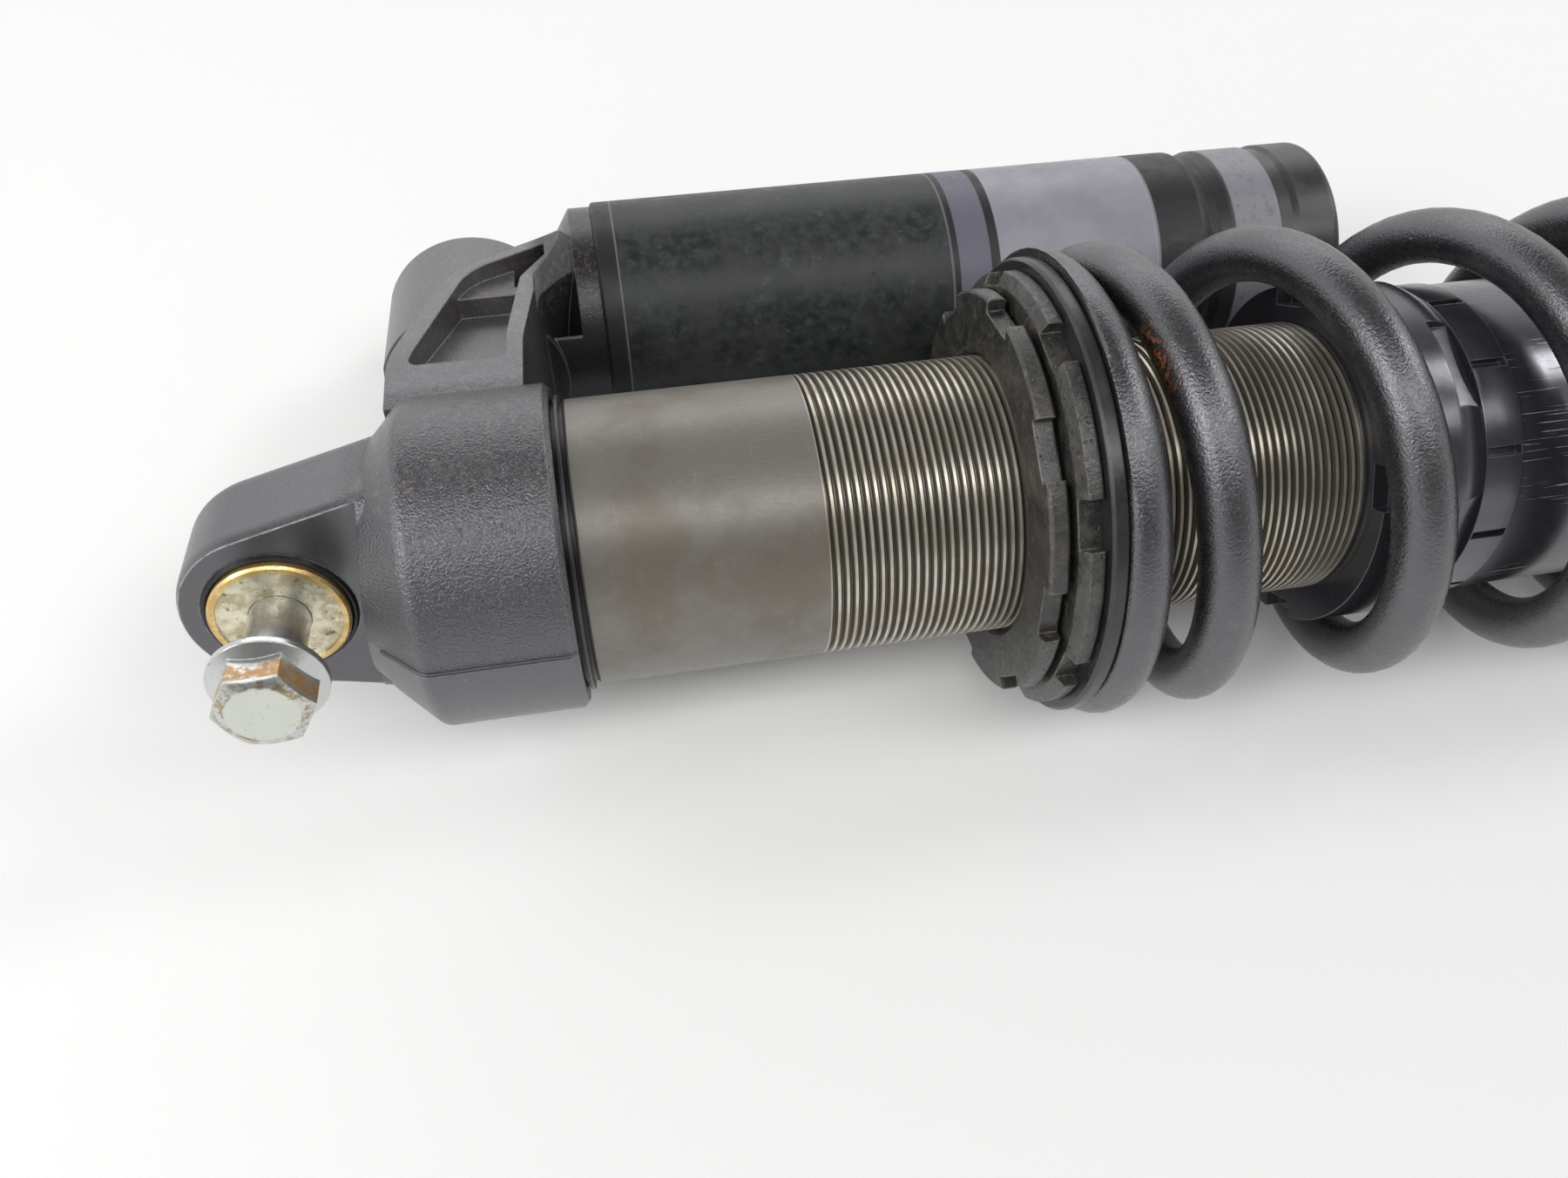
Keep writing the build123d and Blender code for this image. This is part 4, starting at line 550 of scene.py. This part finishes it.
def ring_metal():
    """Blackened ring worn to dusty olive brown, bright along its edges and pitted."""
    f = Finish("ring_black", Metallic=0.0, IOR=1.8)
    patch = f.level(f.noise(0.16, 5.0, 0.7), 0.38, 0.64)
    smear = f.level(f.noise(0.5, 5.0, 0.75), 0.48, 0.66)
    pits = f.spots(0.75, 0.34, keep=0.45)
    rust = f.level(f.noise(0.25, 4.0, 0.7), 0.60, 0.72)
    rubbed = f.times(f.edge(0.7, 0.01, 0.30), f.level(f.noise(0.35, 4.0, 0.7), 0.40, 0.62))
    base = f.mix(patch, srgb(26, 26, 25), srgb(54, 52, 48))
    base = f.tint(base, smear, 0.3, srgb(98, 93, 84))
    base = f.tint(base, rust, 0.35, srgb(116, 98, 84))
    base = f.tint(base, rubbed, 0.55, srgb(172, 166, 156))
    f.set("Base Color", f.tint(base, pits, 0.7, srgb(24, 23, 22)))
    f.set("Roughness", f.level(f.noise(0.9, 4.0, 0.7), 0.3, 0.7, 0.30, 0.50))
    f.bump(f.math("SUBTRACT", f.noise(0.8, 4.0, 0.65), f.times(pits, 0.7)), 0.20, 0.9, rounding=0.6)
    return f.material


def spring_coat():
    """Fine-grained black powder coat, with a patch of rust where the first coils touch."""
    f = Finish("spring_black", Metallic=0.0, IOR=2.2)
    grain = f.noise(2.4, 2.0, 0.55)
    dust = f.level(f.noise(0.3, 5.0, 0.7), 0.50, 0.74)
    inner = f.below(f.distance(f.y, f.z), *RUST_RADII)
    angle = f.math("ARCTAN2", f.z, f.y)
    rust = f.times(inner, f.between(f.x, *RUST_STATIONS, 0.8), f.between(angle, *RUST_ANGLES, 0.12))
    rust = f.times(rust, f.level(f.noise(0.6, 5.0, 0.75), 0.46, 0.66))
    base = f.mix(f.level(f.noise(0.06, 4.0, 0.6), 0.35, 0.65), srgb(24, 24, 26), srgb(36, 36, 38))
    base = f.tint(base, dust, 0.12, srgb(124, 120, 112))
    base = f.tint(base, f.spots(0.2, 0.35, keep=0.25), 0.5, srgb(150, 148, 142))
    base = f.mix(rust, base, f.mix(f.noise(0.9, 4.0, 0.7), srgb(214, 128, 64), srgb(138, 86, 50)))
    f.set("Base Color", base)
    f.set("Specular Tint", srgb(249, 249, 255))
    f.set("Roughness", f.level(grain, 0.3, 0.7, 0.24, 0.34))
    f.bump(grain, 0.13, 1.0)
    return f.material


def coupler_plastic():
    """Glossy black moulding, scored along its length beyond the collar."""
    f = Finish("coupler_black", Metallic=0.0, IOR=2.0)
    wrap = f.vector(f.x, f.times(f.math("ARCTAN2", f.z, f.y), COUPLER_R))
    lines = f.level(f.noise(1.0, 3.0, 0.6, stretch=(0.06, 2.6, 1.0), where=wrap), 0.60, 0.68)
    zone = f.level(f.noise(0.05, 2.0, 0.5, where=wrap), 0.42, 0.56)
    scratch = f.times(lines, zone, f.level(f.x, *SCORED_FROM))
    base = f.mix(f.noise(0.1, 4.0, 0.6), srgb(34, 35, 38), srgb(50, 51, 56))
    base = f.tint(base, f.level(f.noise(0.2, 4.0, 0.7), 0.5, 0.7), 0.05, srgb(72, 70, 64))
    base = f.tint(base, scratch, 0.9, srgb(190, 186, 180))
    f.set("Base Color", f.tint(base, f.edge(0.35), 0.35, srgb(140, 140, 146)))
    f.set("Specular Tint", srgb(246, 246, 255))
    gloss = f.level(f.noise(0.4, 4.0, 0.7), 0.3, 0.7, 0.21, 0.26)
    f.set("Roughness", f.math("ADD", gloss, f.times(scratch, 0.2)))
    f.bump(f.math("SUBTRACT", f.noise(0.5, 2.0, 0.5), scratch), 0.018, 0.6, rounding=0.35)
    return f.material


def zinc_bolt():
    """Zinc-plated flange bolt, with rust on the flats and rim of its hexagon and a pale face."""
    f = Finish("zinc_bright", Metallic=0.8)
    radius = f.distance(f.x, f.y)
    face = f.times(f.level(f.z, BOLT_TOP - 0.25, BOLT_TOP - 0.1), f.below(radius, *BOLT_FACE_R))
    flats = f.times(f.between(f.z, *BOLT_FLATS, 0.3), f.level(radius, *BOLT_FLATS_R))
    rim = f.times(f.level(f.z, BOLT_TOP - 1.0, BOLT_TOP - 0.3), f.level(f.noise(0.5, 5.0, 0.75), 0.46, 0.56))
    brown = f.times(flats, f.level(f.noise(0.22, 4.0, 0.7), 0.36, 0.50))
    smut = f.level(f.noise(0.9, 5.0, 0.75), 0.60, 0.68)
    base = f.mix(f.noise(0.3, 4.0, 0.6), srgb(214, 214, 208), srgb(190, 194, 196))
    base = f.mix(brown, base, f.mix(f.noise(0.8, 4.0, 0.7), srgb(196, 158, 108), srgb(136, 102, 66)))
    base = f.tint(base, rim, 0.8, srgb(150, 128, 84))
    base = f.mix(face, base, srgb(212, 216, 206))
    f.set("Base Color", f.tint(base, smut, 0.5, srgb(104, 92, 72)))
    f.set("Metallic", f.blend(f.math("MAXIMUM", face, brown), 0.85, 0.35))
    f.set("Roughness", f.math("ADD", f.blend(face, 0.24, 0.38), f.times(smut, 0.25)))
    f.bump(f.noise(1.6, 4.0, 0.7), 0.04, 0.6, rounding=0.35)
    return f.material


def yellow_sleeve():
    """Yellow-passivated sleeve: gold lip, face worn pale."""
    f = Finish("zinc_yellow", Metallic=0.8)
    lip = f.level(f.distance(f.x, f.y), *SLEEVE_LIP_R)
    patch = f.level(f.noise(0.30, 4.0, 0.65), 0.38, 0.62)
    smut = f.level(f.noise(0.55, 5.0, 0.75), 0.57, 0.66)
    face = f.mix(patch, srgb(226, 220, 198), srgb(184, 172, 140))
    face = f.tint(face, smut, 0.7, srgb(96, 84, 62))
    gold = f.mix(patch, srgb(228, 202, 146), srgb(208, 174, 114))
    f.set("Base Color", f.mix(lip, face, gold))
    f.set("Roughness", f.math("ADD", f.level(patch, 0.0, 1.0, 0.24, 0.32), f.times(smut, 0.2)))
    f.bump(f.noise(1.6, 4.0, 0.7), 0.03, 0.6, rounding=0.3)
    return f.material


def machined(name, colour, rough, turning=6.0):
    """Turned metal with fine rings across its axis."""
    f = Finish(name, Metallic=1.0)
    rings = f.noise(turning, 2.0, 0.6, where=f.vector(f.x, f.distance(f.y, f.z)))
    shade = tuple(0.82 * v for v in srgb(*colour))
    f.set("Base Color", f.mix(f.level(rings, 0.3, 0.7), shade, srgb(*colour)))
    f.set("Roughness", f.level(rings, 0.3, 0.7, rough - 0.05, rough + 0.08))
    f.bump(rings, 0.012, 0.6, rounding=0.25)
    return f.material


def soft(name, dark, light, rough, grain, height):
    """Rubber or foam with fine pores."""
    f = Finish(name, Metallic=0.0)
    pores = f.noise(grain, 4.0, 0.65)
    f.set("Base Color", f.mix(f.level(pores, 0.35, 0.65), srgb(*dark), srgb(*light)))
    f.set("Roughness", f.level(pores, 0.3, 0.7, rough - 0.06, rough + 0.06))
    f.bump(pores, height, 0.8, rounding=0.3)
    return f.material


BODY = body_metal()
SPRING = spring_coat()
RUBBER = soft("rubber_black", (24, 24, 27), (38, 38, 42), rough=0.34, grain=2.0, height=0.02)
FOAM = soft("bump_foam", (150, 140, 104), (176, 166, 128), rough=0.8, grain=1.4, height=0.25)
BRONZE = machined("ptfe_bronze", (172, 142, 104), 0.45)
ALLOY = machined("bare_alloy", (200, 200, 196), 0.3)
STEEL = machined("spring_steel", (176, 176, 178), 0.3)
BRASS = machined("brass", (190, 160, 100), 0.35)
CHROME = machined("chrome_rod", (222, 222, 226), 0.12, turning=2.0)
SEAT = satin_black("seat_black", (30, 30, 32), (44, 44, 46), 0.30, wear=0.35)
COVER = satin_black("cover_black", (38, 39, 40), (52, 53, 54), 0.34, wear=0.25)
KNOB = satin_black("knob_dark", (70, 70, 76), (84, 84, 90), 0.34, wear=0.4, worn=(190, 190, 190))
FINISHES = {
    casting(): ["upper_cap", "lower_eye"],
    yellow_sleeve(): ["upper_sleeve", "lower_sleeve"],
    zinc_bolt(): ["mounting_bolt"],
    reservoir_skin(): ["reservoir_tube"],
    grey_band(): ["reservoir_plug"],
    ring_metal(): ["lock_ring", "preload_ring", "coupler_flange"],
    coupler_plastic(): ["crossover_collar", "coupler_sleeve"],
    BODY: ["body_tube", "dust_cap"],
    SPRING: ["tender_spring", "main_spring"],
    RUBBER: [
        "upper_seals",
        "head_o_ring",
        "plug_o_ring",
        "float_o_ring",
        "seal_head_o_ring",
        "rod_seal",
        "rod_wiper",
        "top_out_bumper",
        "lower_seals",
    ],
    FOAM: ["bump_stop"],
    BRONZE: ["upper_bush", "rod_bushing", "piston_band", "lower_bush"],
    ALLOY: ["floating_piston", "compression_valve", "seal_head", "rebound_rod", "piston", "bump_cup"],
    STEEL: ["retaining_ring", "compression_shims", "rebound_shims", "piston_nut"],
    BRASS: ["gas_valve"],
    CHROME: ["rod"],
    SEAT: ["spring_seat", "lower_retainer"],
    COVER: ["reservoir_cover", "valve_cap", "cap_seal_ring"],
    KNOB: ["compression_knob", "rebound_knob"],
}
LOOK = {node: material for material, nodes in FINISHES.items() for node in nodes}
for node, shown in frame["nodes"].items():
    for slot in shown.material_slots:
        slot.material = LOOK[node]

# ---- Pieces that replace their plain CAD solids -----------------------------------------------------------
tube = threaded_tube()
tube.data.materials.append(BODY)
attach(tube, "damper")
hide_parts("body_tube")

tender_start, tender_end = span("tender_spring")
main_start, main_end = span("main_spring")

tender = coil("tender_spring_coil", tender_start, **TENDER)
tender.data.materials.append(SPRING)
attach(tender, "damper")
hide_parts("tender_spring")
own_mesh(tender)

main = coil("main_spring_coil", main_start, **MAIN)
main.data.materials.append(SPRING)
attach(main, "crossover")
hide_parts("main_spring")
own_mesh(main)

# ---- Floor, light and camera, in metres ---------------------------------------------------------------
FLOOR_SIZE = 2.4
FLOOR_GLOW = 0.07  # emission where the camera sees it, directly, in a reflection or through glass
LAMPS = (  # name, place, target, width, depth, power
    ("overhead", (-0.08, -0.38, 1.2), (-0.08, 0.0, 0.0), 1.8, 0.30, 7.2),
    ("left", (-1.15, -0.20, 0.80), (-0.1, 0.0, 0.0), 0.6, 0.45, 5.5),
    ("back", (-0.15, 1.30, 0.62), (-0.15, 0.0, 0.05), 1.9, 0.5, 4.0),
    ("right", (0.78, 0.20, 0.93), (0.0, 0.0, 0.0), 0.3, 0.3, 3.0),
)
SKY_DIMMING = ("Z", 0.25, 0.72, 0.95, 0.14)  # axis of the view direction, two values on it, strength at each
FRONT_DIMMING = ("Y", -0.75, -0.1, 0.35, 1.0)
LOW_WHITE = ("Z", 0.18, 0.36, 1.0, 0.0)
CAMERA_PLACE = (-0.23010, -0.13467, 0.23541)
CAMERA_TURN = (27.4049, -3.0233, -9.8705)
CAMERA_LENS = 27.9265
CAMERA_SENSOR = 36.0
CAMERA_CLIP = 0.01


def paper():
    """Matt pale floor that reads white and still takes the object's shadow."""
    f = Finish("floor_paper", Metallic=0.0)
    seen = f.node("ShaderNodeLightPath").outputs
    straight = f.math("MAXIMUM", seen["Is Camera Ray"], seen["Is Glossy Ray"])
    straight = f.math("MAXIMUM", straight, seen["Is Transmission Ray"])
    f.set("Base Color", srgb(246, 246, 245))
    f.set("Roughness", 0.75)
    f.set("Emission Color", (1.0, 1.0, 1.0))
    f.set("Emission Strength", f.times(straight, FLOOR_GLOW))
    return f.material


def add_lamp(name, place, target, width, depth, power):
    """Rectangular lamp that faces its target."""
    light = bpy.data.lights.new(name, "AREA")
    light.shape = "RECTANGLE"
    light.size, light.size_y, light.energy = width, depth, power
    shown = bpy.data.objects.new(name, light)
    bpy.context.scene.collection.objects.link(shown)
    shown.location = place
    shown.rotation_euler = (Vector(target) - Vector(place)).to_track_quat("-Z", "Y").to_euler()


def add_world():
    """Room that is white low down all round, dim above, and dimmer in front of the object."""
    world = bpy.data.worlds.new("studio")
    bpy.context.scene.world = world
    world.use_nodes = True
    tree = world.node_tree
    where = tree.nodes.new("ShaderNodeTexCoord")
    way = tree.nodes.new("ShaderNodeSeparateXYZ")
    tree.links.new(where.outputs["Generated"], way.inputs[0])

    def level(axis, low, high, start, end):
        made = tree.nodes.new("ShaderNodeMapRange")
        made.interpolation_type = "SMOOTHSTEP"
        for given, socket in zip((low, high, start, end), ("From Min", "From Max", "To Min", "To Max")):
            made.inputs[socket].default_value = given
        tree.links.new(way.outputs[axis], made.inputs["Value"])
        return made.outputs[0]

    def join(operation, a, b):
        made = tree.nodes.new("ShaderNodeMath")
        made.operation = operation
        tree.links.new(a, made.inputs[0])
        tree.links.new(b, made.inputs[1])
        return made.outputs[0]

    front = join("MAXIMUM", level(*FRONT_DIMMING), level(*LOW_WHITE))
    sky = tree.nodes["Background"]
    sky.inputs["Color"].default_value = (1.0, 1.0, 1.0, 1.0)
    tree.links.new(join("MULTIPLY", level(*SKY_DIMMING), front), sky.inputs["Strength"])


def add_camera():
    data = bpy.data.cameras.new("camera")
    data.lens, data.sensor_width = CAMERA_LENS, CAMERA_SENSOR
    data.clip_start = CAMERA_CLIP
    camera = bpy.data.objects.new("camera", data)
    bpy.context.scene.collection.objects.link(camera)
    camera.location = CAMERA_PLACE
    camera.rotation_euler = [math.radians(v) for v in CAMERA_TURN]
    bpy.context.scene.camera = camera


bpy.ops.mesh.primitive_plane_add(size=FLOOR_SIZE, location=(0, 0, 0))
floor = bpy.context.object
floor.name = "floor"
floor.data.materials.append(paper())

add_world()
for lamp in LAMPS:
    add_lamp(*lamp)
add_camera()
bpy.context.scene.view_settings.view_transform = "Standard"
